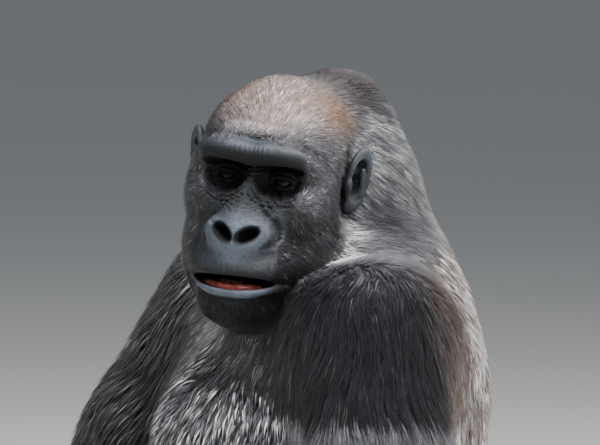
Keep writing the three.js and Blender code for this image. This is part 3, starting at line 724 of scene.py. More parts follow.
def spotAt(q, centre, reach):
    # one at the centre, falling to nothing beyond the reach, on both sides of the head
    x = np.stack([np.abs(q[:, 0]), q[:, 1], q[:, 2]], 1)
    return np.exp(-(((x - np.array(centre)) / np.array(reach)) ** 2).sum(1))


def headDistance(q):
    # distance from the middle of the head
    return np.linalg.norm(q - np.array((0, 90, 0)), axis=1)


sideburn = bar((84, 80, -40), (82, 34, -82), 3, 3, 1)


def sideburnAt(q):
    # long pale hair hangs below and in front of the ear
    return smooth(18, 4, sideburn["at"](np.abs(q) * (1, 0, 0) + q * (0, 1, 1)))


def marksAndShadeOf(share, p):
    # grey, chestnut, brown and pale shares at points of the body: the markings, and painted shade under the
    # face, beside the neck and on the animal's right side
    colourShares = share @ np.array([hairs[kind]["colourShares"] for kind in kinds], np.float32)
    q = toHead(p)
    onHead = within(p, headOrigin, headOrigin, 230)
    cap = smooth(38, 58, q[:, 2]) * smooth(145, 110, q[:, 1]) * smooth(80, 62, np.abs(q[:, 0])) * onHead
    rust = spotAt(q, (54, 78, 66), (26, 34, 22)) * onHead
    crest = spotAt(q, (38, 165, 86), (52, 42, 30)) * onHead
    # painted shade on the side of the neck between the ear and the shoulder
    shade = spotAt(q, (108, 112, -44), (28, 34, 38)) * onHead
    behind = smooth(-15, 60, p[:, 1]) * smooth(250, 380, p[:, 2]) * smooth(150, 190, headDistance(q))
    bib = np.exp(-((p[:, 0] - 20) / 85) ** 2 - ((p[:, 2] - 440) / 80) ** 2) * smooth(-60, -100, p[:, 1])
    pale = sideburnAt(q) * onHead
    # painted shade: less grey and pale hair on the front and lower part of the head, most under the jaw
    frontShade = smooth(90, 45, q[:, 1]) * smooth(58, 40, q[:, 2]) * onHead
    hairline = smooth(40, 12, q[:, 1]) * smooth(30, 40, q[:, 2]) * onHead
    # painted shade on the animal's right side, away from the head: darker and browner
    farSideShade = smooth(-40, -110, p[:, 0]) * smooth(160, 200, headDistance(q))
    # painted shade under the jaw
    low = smooth(-55, -95, q[:, 2]) * frontShade
    colourShares[:, 0] *= (1 - 0.4 * frontShade - 0.5 * low) * (1 - 0.75 * farSideShade)
    colourShares[:, 3] *= (1 - 0.6 * frontShade - 0.4 * low) * (1 - 0.9 * farSideShade) * (1 - 0.8 * hairline)
    colourShares[:, 2] += 0.4 * farSideShade
    colourShares[:, 1] = colourShares[:, 1] * cap + 0.5 * rust + 0.35 * behind
    colourShares[:, 2] += 0.8 * crest
    colourShares[:, 0] += (0.5 * pale + 0.15 * cap * smooth(60, 30, np.abs(q[:, 0])) - 0.75 * crest
                    - 0.7 * shade + 0.3 * behind + 0.5 * bib)
    colourShares[:, 3] += (0.6 * pale - 0.3 * rust - 0.4 * crest - 0.6 * shade + 0.15 * behind + 0.3 * bib
                    - 0.3 * cap * smooth(25, 55, np.abs(q[:, 0])))
    return np.clip(colourShares, 0, 1)


def unit(v):
    return v / (np.linalg.norm(v, axis=1)[:, None] + 1e-6)


def ripple(p, size, seed):
    # a smooth wandering field, the same on every run
    made = np.zeros((len(p), 3), np.float32)
    draw = np.random.default_rng(seed)
    for _ in range(4):
        wave = draw.normal(size=(3, 3)) / size
        made += np.sin(p @ wave.T + draw.uniform(0, 6.3, 3))
    return made / 2


coats = {  # which part of the skin each piece covers, its tufts, their width, rings and size of a lock
    "coat_crown": {"kinds": ("crown", "temple"), "tufts": 46000, "width": 1.15, "rings": 1, "lock": 5},
    "coat_cheeks": {"kinds": ("cheek", "chin", "face"), "tufts": 42000, "width": 1.1, "rings": 1,
                    "lock": 6},
    "coat_nape": {"kinds": ("nape", "throat"), "tufts": 47000, "width": 1.3, "rings": 1, "lock": 8},
    "coat_back": {"kinds": ("back",), "tufts": 14000, "width": 2.2, "rings": 2, "lock": 12},
    "coat_shoulders": {"kinds": ("shoulder", "chest"), "tufts": 47000, "width": 1.4, "rings": 1, "lock": 9},
    "coat_left_arm": {"kinds": ("upperArm", "forearm", "hand"), "side": 1, "tufts": 47000, "width": 1.5,
                      "rings": 1, "lock": 11},
    "coat_right_arm": {"kinds": ("upperArm", "forearm", "hand"), "side": -1, "tufts": 15000, "width": 1.9,
                       "rings": 2, "lock": 12},
    "coat_trunk": {"kinds": ("belly", "rump"), "tufts": 15000, "width": 2.6, "rings": 2, "lock": 14},
    "coat_legs": {"kinds": ("thigh", "shin", "foot", "finger"), "tufts": 13000, "width": 2.4, "rings": 2,
                  "lock": 12},
}
patch = 0.003  # size of a tuft in the map of its piece


def coveredPart(name, coat):
    # the faces of the skin under this piece, unwrapped by their own shape
    mesh = skin.data.copy()
    middles = np.empty(len(mesh.polygons) * 3, np.float32)
    mesh.polygons.foreach_get("center", middles)
    middles = (middles.reshape(-1, 3) - shift) * 1000
    share, _ = hairAt(middles)
    kind = share.argmax(1)
    chosen = np.isin(kind, [kinds.index(k) for k in coat["kinds"]]) & (limbBareness(middles) < 0.85)
    if "side" in coat:
        chosen &= np.sign(middles[:, 0]) == coat["side"]
    bm = bmesh.new()
    bm.from_mesh(mesh)
    bm.faces.ensure_lookup_table()
    bmesh.ops.delete(bm, geom=[bm.faces[i] for i in np.nonzero(~chosen)[0]], context="FACES")
    bmesh.ops.triangulate(bm, faces=bm.faces)
    bm.to_mesh(mesh)
    bm.free()
    part = bpy.data.objects.new(name + "_bed", mesh)
    bpy.context.scene.collection.objects.link(part)
    bpy.ops.object.select_all(action="DESELECT")
    bpy.context.view_layer.objects.active = part
    part.select_set(True)
    bpy.ops.object.mode_set(mode="EDIT")
    bpy.ops.mesh.select_all(action="SELECT")
    bpy.ops.uv.smart_project(angle_limit=math.radians(66), island_margin=0.002)
    bpy.ops.object.mode_set(mode="OBJECT")
    corners = np.empty(len(mesh.loops), np.int32)
    mesh.loops.foreach_get("vertex_index", corners)
    where = (pointsOf(mesh) - shift) * 1000
    uv = np.empty(len(mesh.loops) * 2, np.float32)
    mesh.uv_layers.active.uv.foreach_get("vector", uv)
    bpy.data.objects.remove(part)
    return where[corners].reshape(-1, 3, 3), uv.reshape(-1, 3, 2)


def scattered(triangles, uvs, count, draw):
    # roots spread evenly over triangles, at most one to a small cell
    area = np.linalg.norm(np.cross(triangles[:, 1] - triangles[:, 0], triangles[:, 2] - triangles[:, 0]),
                          axis=1)
    area *= 1.003 - bareness(triangles.mean(1))
    wanted = count * 4
    face = draw.choice(len(area), wanted, p=area / area.sum())
    a, b = np.sqrt(draw.random(wanted)), draw.random(wanted)
    weights = np.stack([1 - a, a * (1 - b), a * b], 1)[:, :, None]
    p = (triangles[face] * weights).sum(1)
    uv = (uvs[face] * weights).sum(1)
    cell = math.sqrt(area.sum() / 2 / count) * 0.9
    _, kept = np.unique(np.floor(p / cell).astype(np.int64) @ np.array((1, 4096, 4096 * 4096)),
                        return_index=True)
    kept = draw.permutation(kept)[:count]
    return p[kept].astype(np.float32), uv[kept]


def gathered(points, cells, pull):
    # draws points of one lock towards its middle
    count = np.bincount(cells)
    middle = np.stack([np.bincount(cells, points[:, i]) for i in range(3)], 1) / count[:, None]
    return points + (middle[cells] - points) * pull[:, None]


def makeCoat(name, coat, seed):
    draw = np.random.default_rng(seed)
    triangles, uvs = coveredPart(name, coat)
    roots, rootUv = scattered(triangles, uvs, coat["tufts"], draw)
    roots = settle(bodyField, roots, 1)
    bare = bareness(roots)
    n = len(roots)
    share, lie = hairAt(roots)
    normal = unit(slopeOf(bodyField, roots))
    burn = sideburnAt(toHead(roots))
    length = (hairValue(share, "length") + 14 * burn) * draw.uniform(0.6, 1.25, n) * (1 - 0.6 * bare)
    depth = (hairValue(share, "depth") + 3 * burn) * draw.uniform(0.4, 1.05, n) * (1 - 0.5 * bare)
    lie = unit(lie) + 0.22 * ripple(roots, 26, 3) + 0.12 * draw.normal(size=(n, 3))
    rings = coat["rings"]
    path, frames = [roots - normal * 1.2], [normal]
    here = roots
    for k in range(1, rings + 1):
        along = lie - normal * (lie * normal).sum(1)[:, None]
        here = here + unit(along) * (length / rings)[:, None]
        wanted = depth * (k / rings) ** 0.7
        normal = unit(slopeOf(bodyField, here))
        here = here + normal * (wanted - bodyField(here))[:, None]
        path.append(here)
        frames.append(normal)
    uneven = (roots + 0.6 * coat["lock"] * ripple(roots, 2.5 * coat["lock"], 8)) / coat["lock"]
    cells = np.unique(np.floor(uneven).astype(np.int64) @ np.array((1, 4096, 4096 * 4096)),
                      return_inverse=True)[1]
    clump = hairValue(share, "clump")
    for k in range(1, rings + 1):
        path[k] = gathered(path[k], cells.ravel(), clump * k / rings)
    lowest = 1.0
    for k in range(rings + 1):
        path[k][:, 2] = np.maximum(path[k][:, 2], lowest)
    width = coat["width"] * draw.uniform(0.7, 1.25, n)
    vertices, strand, uv = [], [], []
    tone = 0.72 * draw.random(n) + 0.28 * draw.random(cells.max() + 1)[cells.ravel()]
    for k in range(rings):
        ahead = unit(path[k + 1] - path[k])
        across = unit(np.cross(ahead, frames[k]))
        above = np.cross(across, ahead)
        w = (width * (0.55 if k == 0 and rings > 1 else 1.0 - 0.35 * max(k - 1, 0)) / 2)[:, None]
        for side, rise in ((-1, 0), (1, 0), (0, 0.7)):
            vertices.append(path[k] + across * w * side + above * w * rise)
            strand.append(np.stack([np.full(n, k / rings), tone, np.zeros(n)], 1))
            uv.append(rootUv + np.array((side, 2 * k / rings - 1)) * patch / 2)
    vertices.append(path[rings])
    strand.append(np.stack([np.ones(n), tone, np.zeros(n)], 1))
    uv.append(rootUv + np.array((0, 1)) * patch / 2)
    per = 3 * rings + 1
    vertices = np.stack(vertices, 1).reshape(-1, 3)
    strand, uv = np.stack(strand, 1).reshape(-1, 3), np.stack(uv, 1).reshape(-1, 2)
    base = (np.arange(n) * per)[:, None]
    triangles3, quads4 = [np.array((0, 1, 2))], []
    for k in range(rings - 1):
        for j in range(3):
            a, b = 3 * k + j, 3 * k + (j + 1) % 3
            quads4.append(np.array((a, a + 3, b + 3, b)))
    for j in range(3):
        a, b = 3 * (rings - 1) + j, 3 * (rings - 1) + (j + 1) % 3
        triangles3.append(np.array((a, per - 1, b)))
    threes = np.concatenate([base + t for t in triangles3])
    fours = np.concatenate([base + f for f in quads4] + [np.zeros((0, 4), int)])
    colourShares = marksAndShadeOf(share, roots)
    colourShares[:, (0, 3)] *= (1 - 0.8 * bare)[:, None]  # sparse hair at the edge of the face is dark
    return dressed(name, toFrame(vertices), threes, fours, strand, uv, colourShares, per)


def dressed(name, points, threes, fours, strand, uv, colourShares, per):
    # a mesh from arrays, with what the finish reads
    mesh = bpy.data.meshes.new(name)
    mesh.vertices.add(len(points))
    mesh.vertices.foreach_set("co", points.astype(np.float32).ravel())
    corners = np.concatenate([threes.ravel(), fours.ravel()]).astype(np.int32)
    mesh.loops.add(len(corners))
    mesh.loops.foreach_set("vertex_index", corners)
    sizes = np.concatenate([np.full(len(threes), 3), np.full(len(fours), 4)])
    mesh.polygons.add(len(sizes))
    mesh.polygons.foreach_set("loop_start", np.concatenate([[0], np.cumsum(sizes)[:-1]]).astype(np.int32))
    mesh.update(calc_edges=True)
    mesh.shade_smooth()
    layer = mesh.uv_layers.new(name="OFBake")
    layer.uv.foreach_set("vector", uv[corners].astype(np.float32).ravel())
    held = mesh.attributes.new("strand", "FLOAT_VECTOR", "POINT")
    held.data.foreach_set("vector", strand.astype(np.float32).ravel())
    colours = np.repeat(colourShares, per, 0).astype(np.float32)
    mesh.attributes.new("colourShares", "FLOAT_COLOR", "POINT").data.foreach_set("color", colours.ravel())
    made = bpy.data.objects.new(name, mesh)
    bpy.context.scene.collection.objects.link(made)
    return made


coatPieces = {}
for seed, (name, coat) in enumerate(coats.items()):
    coatPieces[name] = makeCoat(name, coat, seed + 11)
    report("%s: %d faces" % (name, len(coatPieces[name].data.polygons)))


# Materials: each starts from what the real thing is

def colour(code):
    # an sRGB hex code to the linear colour of a shader socket
    parts = [int(code[i: i + 2], 16) / 255 for i in (1, 3, 5)]
    return tuple(c / 12.92 if c <= 0.04045 else ((c + 0.055) / 1.055) ** 2.4 for c in parts) + (1.0,)


def material(name, **settings):
    made = bpy.data.materials.new(name)
    made.use_nodes = True
    shader = made.node_tree.nodes["Principled BSDF"]
    for key, value in settings.items():
        shader.inputs[key.replace("_", " ")].default_value = value
    return made, made.node_tree, shader


def node(tree, kind, links=(), **settings):
    # adds a node and sets it; an input takes another node's socket, a hex code or a number
    made = tree.nodes.new("ShaderNode" + kind)
    for key, value in settings.items():
        if hasattr(made, key):
            setattr(made, key, value)
        else:
            made.inputs[key.replace("_", " ")].default_value = value
    for socket, source in dict(links).items():
        if isinstance(source, str):
            made.inputs[socket].default_value = colour(source)
        elif isinstance(source, (int, float)):
            made.inputs[socket].default_value = source
        else:
            tree.links.new(source, made.inputs[socket])
    return made


coatLook = {             # matt hair with single light hairs among the dark; darker towards the root as painted shade under the coat
    "black": "#16181e",
    "brown": "#2f2622",
    "grey": "#7d7e83",
    "chestnut": "#8d6b55",
    "pale": "#bfbcba",
}


def marked(tree, random):
    # the coat's colour from its colour shares, which hold the markings and painted shade; random sets the
    # mix of dark and light hairs
    colourShares = node(tree, "Attribute", attribute_name="colourShares")
    parts = node(tree, "SeparateColor", {"Color": colourShares.outputs["Color"]}).outputs
    spread = node(tree, "MapRange", {"Value": random}, From_Min=0.0, From_Max=1.0, To_Min=0.45,
                  To_Max=1.5).outputs[0]
    tone = node(tree, "Mix", {0: parts["Blue"], 6: coatLook["black"], 7: coatLook["brown"]},
                data_type="RGBA").outputs[2]
    grey = node(tree, "Math", {0: parts["Red"], 1: spread}, operation="MULTIPLY", use_clamp=True).outputs[0]
    tone = node(tree, "Mix", {0: grey, 6: tone, 7: coatLook["grey"]}, data_type="RGBA").outputs[2]
    tone = node(tree, "Mix", {0: parts["Green"], 6: tone, 7: coatLook["chestnut"]},
                data_type="RGBA").outputs[2]
    chance = node(tree, "Math", {0: random, 1: colourShares.outputs["Alpha"]}, operation="ADD").outputs[0]
    light = node(tree, "MapRange", {"Value": chance}, From_Min=0.92, From_Max=1.12).outputs[0]
    return node(tree, "Mix", {0: light, 6: tone, 7: coatLook["pale"]}, data_type="RGBA").outputs[2]


def coatMaterial():
    made, tree, shader = material("coat of hair", Roughness=0.5, Specular_IOR_Level=0.22)
    strand = node(tree, "Attribute", attribute_name="strand").outputs["Vector"]
    parts = node(tree, "SeparateXYZ", {"Vector": strand}).outputs
    tone = marked(tree, parts["Y"])
    # darker towards the root: painted shade under the coat; each hair is also lighter or darker at random
    root = node(tree, "MapRange", {"Value": parts["X"]}, From_Min=0.0, From_Max=0.5, To_Min=0.45,
                To_Max=1.0).outputs[0]
    hair = node(tree, "MapRange", {"Value": parts["Y"]}, From_Min=0.1, From_Max=0.9, To_Min=0.45,
                To_Max=1.5).outputs[0]
    root = node(tree, "Math", {0: root, 1: hair}, operation="MULTIPLY").outputs[0]
    shade = node(tree, "CombineColor", {0: root, 1: root, 2: root}).outputs[0]
    tree.links.new(node(tree, "Mix", {0: 1.0, 6: tone, 7: shade}, data_type="RGBA",
                        blend_type="MULTIPLY").outputs[2], shader.inputs["Base Color"])
    return made


coatFinish = coatMaterial()
for name, piece in coatPieces.items():
    piece.data.materials.append(coatFinish)
    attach(piece, "root")

skinLook = {
    "bare": "#181b1f",   # slate black hide, blue where it faces the sky
    "highlightAndWear": "#4b535e",   # paler blue-grey: painted highlight on the top of the brow, the pad of the nose, the lips and the upper rims of the ears; wear on the bare hands and feet
    "paintedShade": "#08090b",   # painted shade: sockets of the eyes, nostrils, under the lip, the folds and hollows of the face and ears
    "mouth": "#3a1512",  # wet lining of the mouth
    "underCoat": "#161516",
}


def hideTones(p):
    # painted highlight and wear, painted shade and creased shares of the hide, and the lining of the mouth
    q = toHead(p)
    x, y, z = np.abs(q[:, 0]), q[:, 1], q[:, 2]
    tones = np.zeros((len(p), 4), np.float32)
    face = faceBareness(q) * smooth(50, 25, y)
    # painted highlight: the top of the brow, the pad of the nose, the lips, the muzzle and the upper ears;
    # the bare hands and feet are paler with wear
    litBrowTop = smooth(25, 34, z) * smooth(48, 40, z) * smooth(70, 56, x) * smooth(16, 4, y)
    padWidth = 35 - 0.45 * np.clip(-57 - z, 0, 40)
    pad = np.exp(-((x / padWidth) ** 2 + ((z + 57) / 26) ** 2) ** 2) * smooth(-22, -34, y)
    lip = smooth(-120, -117, z) * smooth(-105, -109, z) * smooth(-14, -24, y)
    muzzle = 0.15 * smooth(-101, -96, z) * smooth(-72, -82, z) * smooth(48, 30, x)
    atEar = (np.stack([x, y, z], 1) - np.array(ear["at"])) @ earAxes
    ears = (0.05 + 0.3 * smooth(-4, 22, atEar[:, 2])) * earBareness(q)
    tones[:, 0] = np.maximum(np.max([0.35 * litBrowTop, pad, 0.9 * lip, muzzle], 0) * face, ears)
    tones[:, 0] = np.maximum(tones[:, 0], 0.35 * limbBareness(p))
    # painted shade: eye sockets, between the eyes, beside the nose, the lower half of the brow roll, under
    # the upper lip, inside the nostrils, on the chin, in the folds and in the hollow of the ear
    socket = np.exp(-(((x - 31) / 27) ** 2 + ((z - 12) / 16) ** 2) ** 2) * smooth(-40, -32, y)
    cavity = np.clip(-folded(q) / 1.6, 0, 1) * (0.9 - 0.7 * smooth(35, 40, z))
    glabella = 0.7 * np.exp(-((x / 12) ** 2 + ((z - 12) / 12) ** 2)) * smooth(-27, -20, y)
    holes = smooth(4.5, 0.3, nostrilAt(np.stack([x, y, z], 1)))
    tear = 0.5 * np.exp(-((x - 18) / 26) ** 2 - ((z + 12) / 20) ** 2)
    roll = 0.92 * smooth(37, 27, z) * smooth(2, 12, z) * smooth(66, 56, x)
    rimOfLip = 0.75 * smooth(-86, -93, z - mouthTilt * q[:, 0]) * smooth(-104, -99, z) * smooth(-20, -30, y)
    chin = smooth(-117, -122, z) * smooth(0, -30, y)
    concha = earBareness(q) * smooth(5.0, 1.5, atEar[:, 0])
    tones[:, 1] = np.clip(np.max([socket * face, glabella * face, tear * face, roll * face,
                                  rimOfLip * face, holes, chin, cavity, concha], 0), 0, 1)
    creased = np.exp(-(((x - 24) / 40) ** 2 + ((z + 12) / 34) ** 2) ** 2)
    tones[:, 2] = np.clip(creased + 0.5 * smooth(40, 50, z), 0.12, 1)
    bent = np.stack([q[:, 0], y, z - mouthTilt * q[:, 0]], 1).astype(np.float32)
    tones[:, 3] = smooth(1.2, 0.2, mouthSlot["at"](bent)) * smooth(-54, -42, y) * smooth(40, 30, x)
    near = within(p, headOrigin, headOrigin, 190)
    tones[~near, 1:] = (0, 0.5, 0)
    return tones


def skinMaterial():
    made, tree, shader = material("hide", Roughness=0.46, Specular_IOR_Level=0.26)
    place = node(tree, "TexCoord").outputs["Object"]
    hide = node(tree, "Attribute", attribute_name="hide")
    highlightAndWear, paintedShade, creased = node(tree, "SeparateColor", {"Color": hide.outputs["Color"]}).outputs
    rough = node(tree, "MapRange", {"Value": paintedShade}, From_Min=0.0, From_Max=1.0, To_Min=0.46,
                 To_Max=0.85).outputs[0]
    tree.links.new(rough, shader.inputs["Roughness"])
    patches = node(tree, "TexNoise", {"Vector": place}, Scale=55.0, Detail=5.0,
                   Roughness=0.65).outputs["Fac"]
    mottle = node(tree, "MapRange", {"Value": patches}, From_Min=0.3, From_Max=0.7, To_Min=0.7,
                  To_Max=1.2).outputs[0]
    # paler where the highlight and the wear are painted, mottled
    highlightAndWearMottled = node(tree, "Math", {0: highlightAndWear, 1: mottle}, operation="MULTIPLY", use_clamp=True).outputs[0]
    tone = node(tree, "Mix", {0: highlightAndWearMottled, 6: skinLook["bare"], 7: skinLook["highlightAndWear"]},
                data_type="RGBA").outputs[2]
    # darker along a network of fine cracks
    cracks = node(tree, "TexVoronoi", {"Vector": place}, feature="DISTANCE_TO_EDGE",
                  Scale=330.0).outputs["Distance"]
    crack = node(tree, "MapRange", {"Value": cracks}, From_Min=0.0, From_Max=0.22).outputs[0]
    crackDarkening = node(tree, "MapRange", {"Value": crack}, To_Min=0.62, To_Max=1.0).outputs[0]
    crackedColour = node(tree, "CombineColor", {0: crackDarkening, 1: crackDarkening, 2: crackDarkening}).outputs[0]
    tone = node(tree, "Mix", {0: 1.0, 6: tone, 7: crackedColour}, data_type="RGBA",
                blend_type="MULTIPLY").outputs[2]
    # painted shade in the sockets, nostrils, folds and other hollows
    tone = node(tree, "Mix", {0: paintedShade, 6: tone, 7: skinLook["paintedShade"]}, data_type="RGBA").outputs[2]
    tone = node(tree, "Mix", {0: hide.outputs["Alpha"], 6: tone, 7: skinLook["mouth"]},
                data_type="RGBA").outputs[2]
    bare = node(tree, "Attribute", attribute_name="bare").outputs["Fac"]
    under = node(tree, "Mix", {0: 0.55, 6: skinLook["underCoat"], 7: marked(tree, patches)},
                 data_type="RGBA").outputs[2]
    tree.links.new(node(tree, "Mix", {0: bare, 6: under, 7: tone}, data_type="RGBA").outputs[2],
                   shader.inputs["Base Color"])
    # hide cracked like dry mud where it is creased, and pored everywhere
    depth = node(tree, "Math", {0: crack, 1: creased}, operation="MULTIPLY").outputs[0]
    pores = node(tree, "TexNoise", {"Vector": place}, Scale=900.0, Detail=3.0).outputs["Fac"]
    height = node(tree, "Math", {0: pores, 1: depth}, operation="ADD").outputs[0]
    bump = node(tree, "Bump", {"Height": height}, Strength=0.9, Distance=0.0006)
    tree.links.new(bump.outputs["Normal"], shader.inputs["Normal"])
    return made


skin.data.materials.append(skinMaterial())
skinPoints = (pointsOf(skin.data) - shift) * 1000
share, _ = hairAt(skinPoints)
for name, kind, key, values in (("bare", "FLOAT", "value", bareness(skinPoints)),
                                ("hide", "FLOAT_COLOR", "color", hideTones(skinPoints)),
                                ("colourShares", "FLOAT_COLOR", "color", marksAndShadeOf(share, skinPoints))):
    skin.data.attributes.new(name, kind, "POINT").data.foreach_set(key, values.astype(np.float32).ravel())


# Eyes

eyeLook = {"iris": "#1f140d", "rim": "#060404", "white": "#0f0c0b", "pupil": 0.19, "edge": 0.46}


def makeEye(name, side):
    # rings run round the axis of sight, so the colours follow the angle from the pupil
    rings, around = 40, 40
    centre = eyeCentre[side]
    gaze = Vector((0.10, -1, -0.02)).normalized()
    across = gaze.cross(Vector((0, 0, 1))).normalized()
    up = across.cross(gaze)
    points, angles = [], []
    for i in range(rings + 1):
        a = math.pi * i / rings
        bulge = 1 + 0.045 * math.exp(-(a / 0.42) ** 2)
        count = 1 if i in (0, rings) else around
        for j in range(count):
            b = 2 * math.pi * j / around
            d = gaze * math.cos(a) + (across * math.cos(b) + up * math.sin(b)) * math.sin(a)
            points.append(centre + np.array(d) * head["eyeRadius"] * bulge)
            angles.append(a)
    faces = [(0, 1 + (j + 1) % around, 1 + j) for j in range(around)]
    for i in range(rings - 2):
        a, b = 1 + i * around, 1 + (i + 1) * around
        faces += [(a + j, a + (j + 1) % around, b + (j + 1) % around, b + j) for j in range(around)]
    last = 1 + (rings - 1) * around
    faces += [(last, last - around + j, last - around + (j + 1) % around) for j in range(around)]
    eye = meshObject(name, toFrame(fromHead(points)), faces)
    angle = eye.data.attributes.new("angle", "FLOAT", "POINT")
    angle.data.foreach_set("value", angles)
    return eye


def eyeMaterial():
    made, tree, shader = material("wet eye", Roughness=0.06, IOR=1.38, Specular_IOR_Level=0.12)
    angle = node(tree, "Attribute", attribute_name="angle").outputs["Fac"]
    rings = node(tree, "ValToRGB", {"Fac": angle})
    ramp = rings.color_ramp
    stops = [(eyeLook["pupil"], "#020202"), (eyeLook["pupil"] + 0.03, eyeLook["iris"]),
             (eyeLook["edge"] - 0.05, eyeLook["iris"]), (eyeLook["edge"], eyeLook["rim"]),
             (eyeLook["edge"] + 0.12, eyeLook["white"])]
    while len(ramp.elements) < len(stops):
        ramp.elements.new(0.5)
    for element, (at, code) in zip(ramp.elements, stops):
        element.position, element.color = at, colour(code)
    tree.links.new(rings.outputs["Color"], shader.inputs["Base Color"])
    return made


eyeFinish = eyeMaterial()
for sideName, limb in body.items():
    eye = makeEye("eyeball_" + sideName, limb["side"])
    eye.data.materials.append(eyeFinish)
    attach(eye, "root")
    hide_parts("eye_" + sideName)
report("eyes")


# Mouth and nails

def rounded(centre, radii, square=1.0, around=16, rings=10):
    # a closed round block; square below one flattens its sides
    points = [(0, 0, -1)]
    for i in range(1, rings):
        a = math.pi * i / rings - math.pi / 2
        for j in range(around):
            b = 2 * math.pi * j / around
            points.append((math.cos(a) * math.cos(b), math.cos(a) * math.sin(b), math.sin(a)))
    points.append((0, 0, 1))
    points = np.array(points)
    points = np.sign(points) * np.abs(points) ** square * np.array(radii) + np.array(centre)
    faces = [(0, 1 + (j + 1) % around, 1 + j) for j in range(around)]
    for i in range(rings - 2):
        a, b = 1 + i * around, 1 + (i + 1) * around
        faces += [(a + j, a + (j + 1) % around, b + (j + 1) % around, b + j) for j in range(around)]
    last, a = len(points) - 1, len(points) - 1 - around
    faces += [(a + j, a + (j + 1) % around, last) for j in range(around)]
    return points, faces


def rolled(path, around=14):
    # a closed roll along a smooth line of (x, y, z, radius) points
    line = curve(path, 8 * len(path))
    points, faces = [line[0, :3]], []
    for i, spot in enumerate(line[1:-1], 1):
        ahead = Vector(line[i + 1, :3] - line[i - 1, :3]).normalized()
        across = ahead.cross(Vector((0, 0, 1))).normalized()
        above = across.cross(ahead)
        for j in range(around):
            b = 2 * math.pi * j / around
            points.append(spot[:3] + np.array(across * math.cos(b) + above * math.sin(b)) * spot[3])
    points.append(line[-1, :3])
    rings, last = len(line) - 2, len(points) - 1
    faces += [(0, 1 + j, 1 + (j + 1) % around) for j in range(around)]
    for i in range(rings - 1):
        a, b = 1 + i * around, 1 + (i + 1) * around
        faces += [(a + j, b + j, b + (j + 1) % around, a + (j + 1) % around) for j in range(around)]
    a = last - around
    faces += [(a + j, last, a + (j + 1) % around) for j in range(around)]
    return np.array(points), faces


def gatherParts(name, parts):
    # several closed forms as one piece
    points, faces, count = [], [], 0
    for at, ring in parts:
        points.append(at)
        faces += [tuple(i + count for i in face) for face in ring]
        count += len(at)
    return meshObject(name, toFrame(np.concatenate(points)), faces)


mouthLook = {  # gum wet and dark, teeth dull and stained at the root, nails of grey horn
    "gum": "#6d2a25", "gumPale": "#9c4f44",
    "enamel": "#5b4c33", "root": "#33291a",
    "nail": "#2a2725", "nailEdge": "#4b4742",
}
gumLine = ((-32, -34, -109.6, 2), (-24, -41, -109.6, 4), (-12, -48.5, -110, 5), (0, -51, -110.4, 5.2),
           (12, -48.5, -109.8, 5), (22, -42, -108.8, 3.8), (30, -34, -108, 2))
gum = [rolled(gumLine), rounded((0, -8, -113), (30, 34, 6.5))]
gums = gatherParts("gums_and_tongue", [(fromHead(at), ring) for at, ring in gum])
incisors = [rounded((i * 6.1, -45.5 + 0.9 * i * i, -107.2), (3.2, 2.6, 4.6), 0.45)
            for i in (-1.5, -0.5, 0.5, 1.5)]
teeth = gatherParts("teeth", [(fromHead(at), ring) for at, ring in incisors])


def nail(at, along, out, width, length):
    # a thin plate bent over the end of a digit
    y = Vector(along).normalized()
    x = y.cross(Vector(out)).normalized()
    z = x.cross(y)
    points, faces = rounded((0, 0, 0), (width / 2, length / 2, 0.8), 0.75)
    points[:, 2] -= points[:, 0] ** 2 / (width * 0.9)
    return np.array(at) + points @ np.array((x, y, z)), faces


nails = []
for limb in body.values():
    put = placed(limb["wrist"], limb["handTurn"], limb["side"])
    turned = placed((0, 0), limb["handTurn"], limb["side"])
    r = hand["fingerRadius"]
    for x in hand["knuckles"]:
        out = turned((0, 0.6, -0.8))
        tip = np.array(put((x * 0.98, -33, r - 1.6))) + np.array(out) * (r - 2.6)
        nails.append(nail(tip, turned((0, 0.8, 0.6)), out, 10.5, 9.5))
    out = turned((-0.62, -0.3, 0.72))
    tip = np.array(put((-51, -45, 37))) + np.array(out) * 8.4
    nails.append(nail(tip, turned((-0.5, -0.6, -0.65)), out, 10, 9.5))
    put = placed(limb["ankle"], limb["footTurn"], limb["side"])
    turned = placed((0, 0), limb["footTurn"], limb["side"])
    r = foot["toeRadius"]
    for x, length in foot["toes"]:
        out = turned((0, -0.45, 0.89))
        tip = np.array(put((x, 11 - length, r - 2))) + np.array(out) * (r - 1.9)
        nails.append(nail(tip, turned((0, -0.89, -0.45)), out, 10.5, 10))
    out = turned((-0.15, -0.4, 0.9))
    tip = np.array(put((-46, -120, 15))) + np.array(out) * 13.6
    nails.append(nail(tip, turned((-0.35, -0.85, -0.4)), out, 14, 13))
nails = gatherParts("nails", nails)


def mouthMaterial(name, dark, light, scale, roughness):
    made, tree, shader = material(name, Roughness=roughness)
    place = node(tree, "TexCoord").outputs["Object"]
    spots = node(tree, "TexNoise", {"Vector": place}, Scale=scale, Detail=4.0).outputs["Fac"]
    share = node(tree, "MapRange", {"Value": spots}, From_Min=0.35, From_Max=0.65).outputs[0]
    tree.links.new(node(tree, "Mix", {0: share, 6: mouthLook[dark], 7: mouthLook[light]},
                        data_type="RGBA").outputs[2], shader.inputs["Base Color"])
    bump = node(tree, "Bump", {"Height": spots}, Strength=0.3, Distance=0.0004)
    tree.links.new(bump.outputs["Normal"], shader.inputs["Normal"])
    return made


mouthPieces = (  # the piece, its material, its slot and the node it stands for
    (gums, mouthMaterial("wet gum", "gum", "gumPale", 160, 0.22), "tongue", "tongue"),
    (teeth, mouthMaterial("stained teeth", "root", "enamel", 240, 0.3), "tooth", "lower_teeth"),
    (nails, mouthMaterial("nail", "nail", "nailEdge", 320, 0.38), "bare_skin", None),
)
for piece, finish, slot, node_ in mouthPieces:
    piece.data.materials.append(finish)
    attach(piece, "root")
    if node_:
        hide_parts(node_)
report("mouth and nails")


# Floor, light and camera

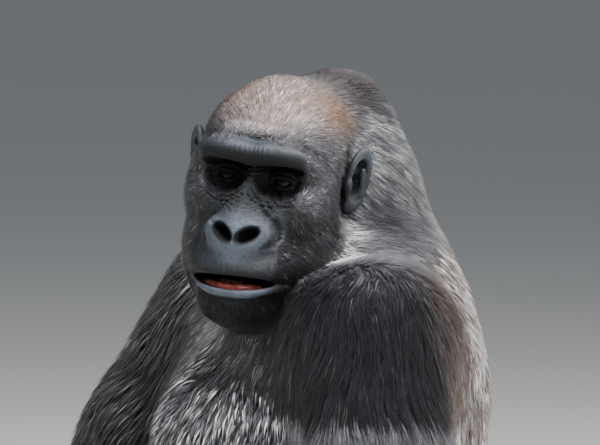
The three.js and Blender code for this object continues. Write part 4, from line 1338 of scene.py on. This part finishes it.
studio = {"floor": "#e4e3e0", "floorRadius": 90, "sky": "#cdd4dc", "skyStrength": 0.3}  # radius in metres
floorMaterial, _, floorShader = material("pale floor", Roughness=0.8)
floorShader.inputs["Base Color"].default_value = colour(studio["floor"])
bpy.ops.mesh.primitive_circle_add(vertices=96, radius=studio["floorRadius"], fill_type="NGON")
floor = bpy.context.object
floor.name = "floor"
floor.data.materials.append(floorMaterial)
floor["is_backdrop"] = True

world = bpy.data.worlds.new("studio")
bpy.context.scene.world = world
world.use_nodes = True
world.node_tree.nodes["Background"].inputs["Color"].default_value = colour(studio["sky"])
world.node_tree.nodes["Background"].inputs["Strength"].default_value = studio["skyStrength"]

lights = {  # azimuth, elevation, distance, size, power: a wide overhead one, a fill and a rim
    "overhead": (62, 70, 3.2, 2.2, 330),
    "fill": (95, 35, 4.0, 2.4, 80),
    "rim": (150, 42, 3.6, 1.8, 300),
}
target = Vector((0, 0, 0.5))
for lightName, (azimuth, elevation, distance, size, power) in lights.items():
    lamp = bpy.data.lights.new(lightName, "AREA")
    lamp.size, lamp.energy = size, power
    holder = bpy.data.objects.new(lightName, lamp)
    bpy.context.scene.collection.objects.link(holder)
    a, e = math.radians(azimuth), math.radians(elevation)
    away = Vector((math.sin(a) * math.cos(e), -math.cos(a) * math.cos(e), math.sin(e)))
    holder.location = target + away * distance
    holder.rotation_euler = (-away).to_track_quat("-Z", "Y").to_euler()

view = {
    "azimuth": 60, "elevation": 3, "distance": 6.0,
    "width": 0.624,                # metres across the frame at the eyes
    "fromEyes": (0.0478, -0.0463),  # frame centre from the point between the eyes: right, up
}
a, e = math.radians(view["azimuth"]), math.radians(view["elevation"])
back = Vector((math.sin(a) * math.cos(e), -math.cos(a) * math.cos(e), math.sin(e)))
right = Vector((math.cos(a), math.sin(a), 0))
up = back.cross(right)
lens = bpy.data.cameras.new("camera")
lens.sensor_width = 36
lens.lens = 36 * view["distance"] / view["width"]
lens.clip_end = 100
camera = bpy.data.objects.new("camera", lens)
bpy.context.scene.collection.objects.link(camera)
aim = Vector(toFrame(head["eyes"])) + right * view["fromEyes"][0] + up * view["fromEyes"][1]
turned = Matrix((right, up, back)).transposed().to_4x4()
turned.translation = aim + back * view["distance"]
camera.matrix_world = turned
bpy.context.scene.camera = camera

low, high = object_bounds()
size = {"cad_low": list(cadLow), "cad_high": list(cadHigh), "low": list(low), "high": list(high)}
report("scene done")
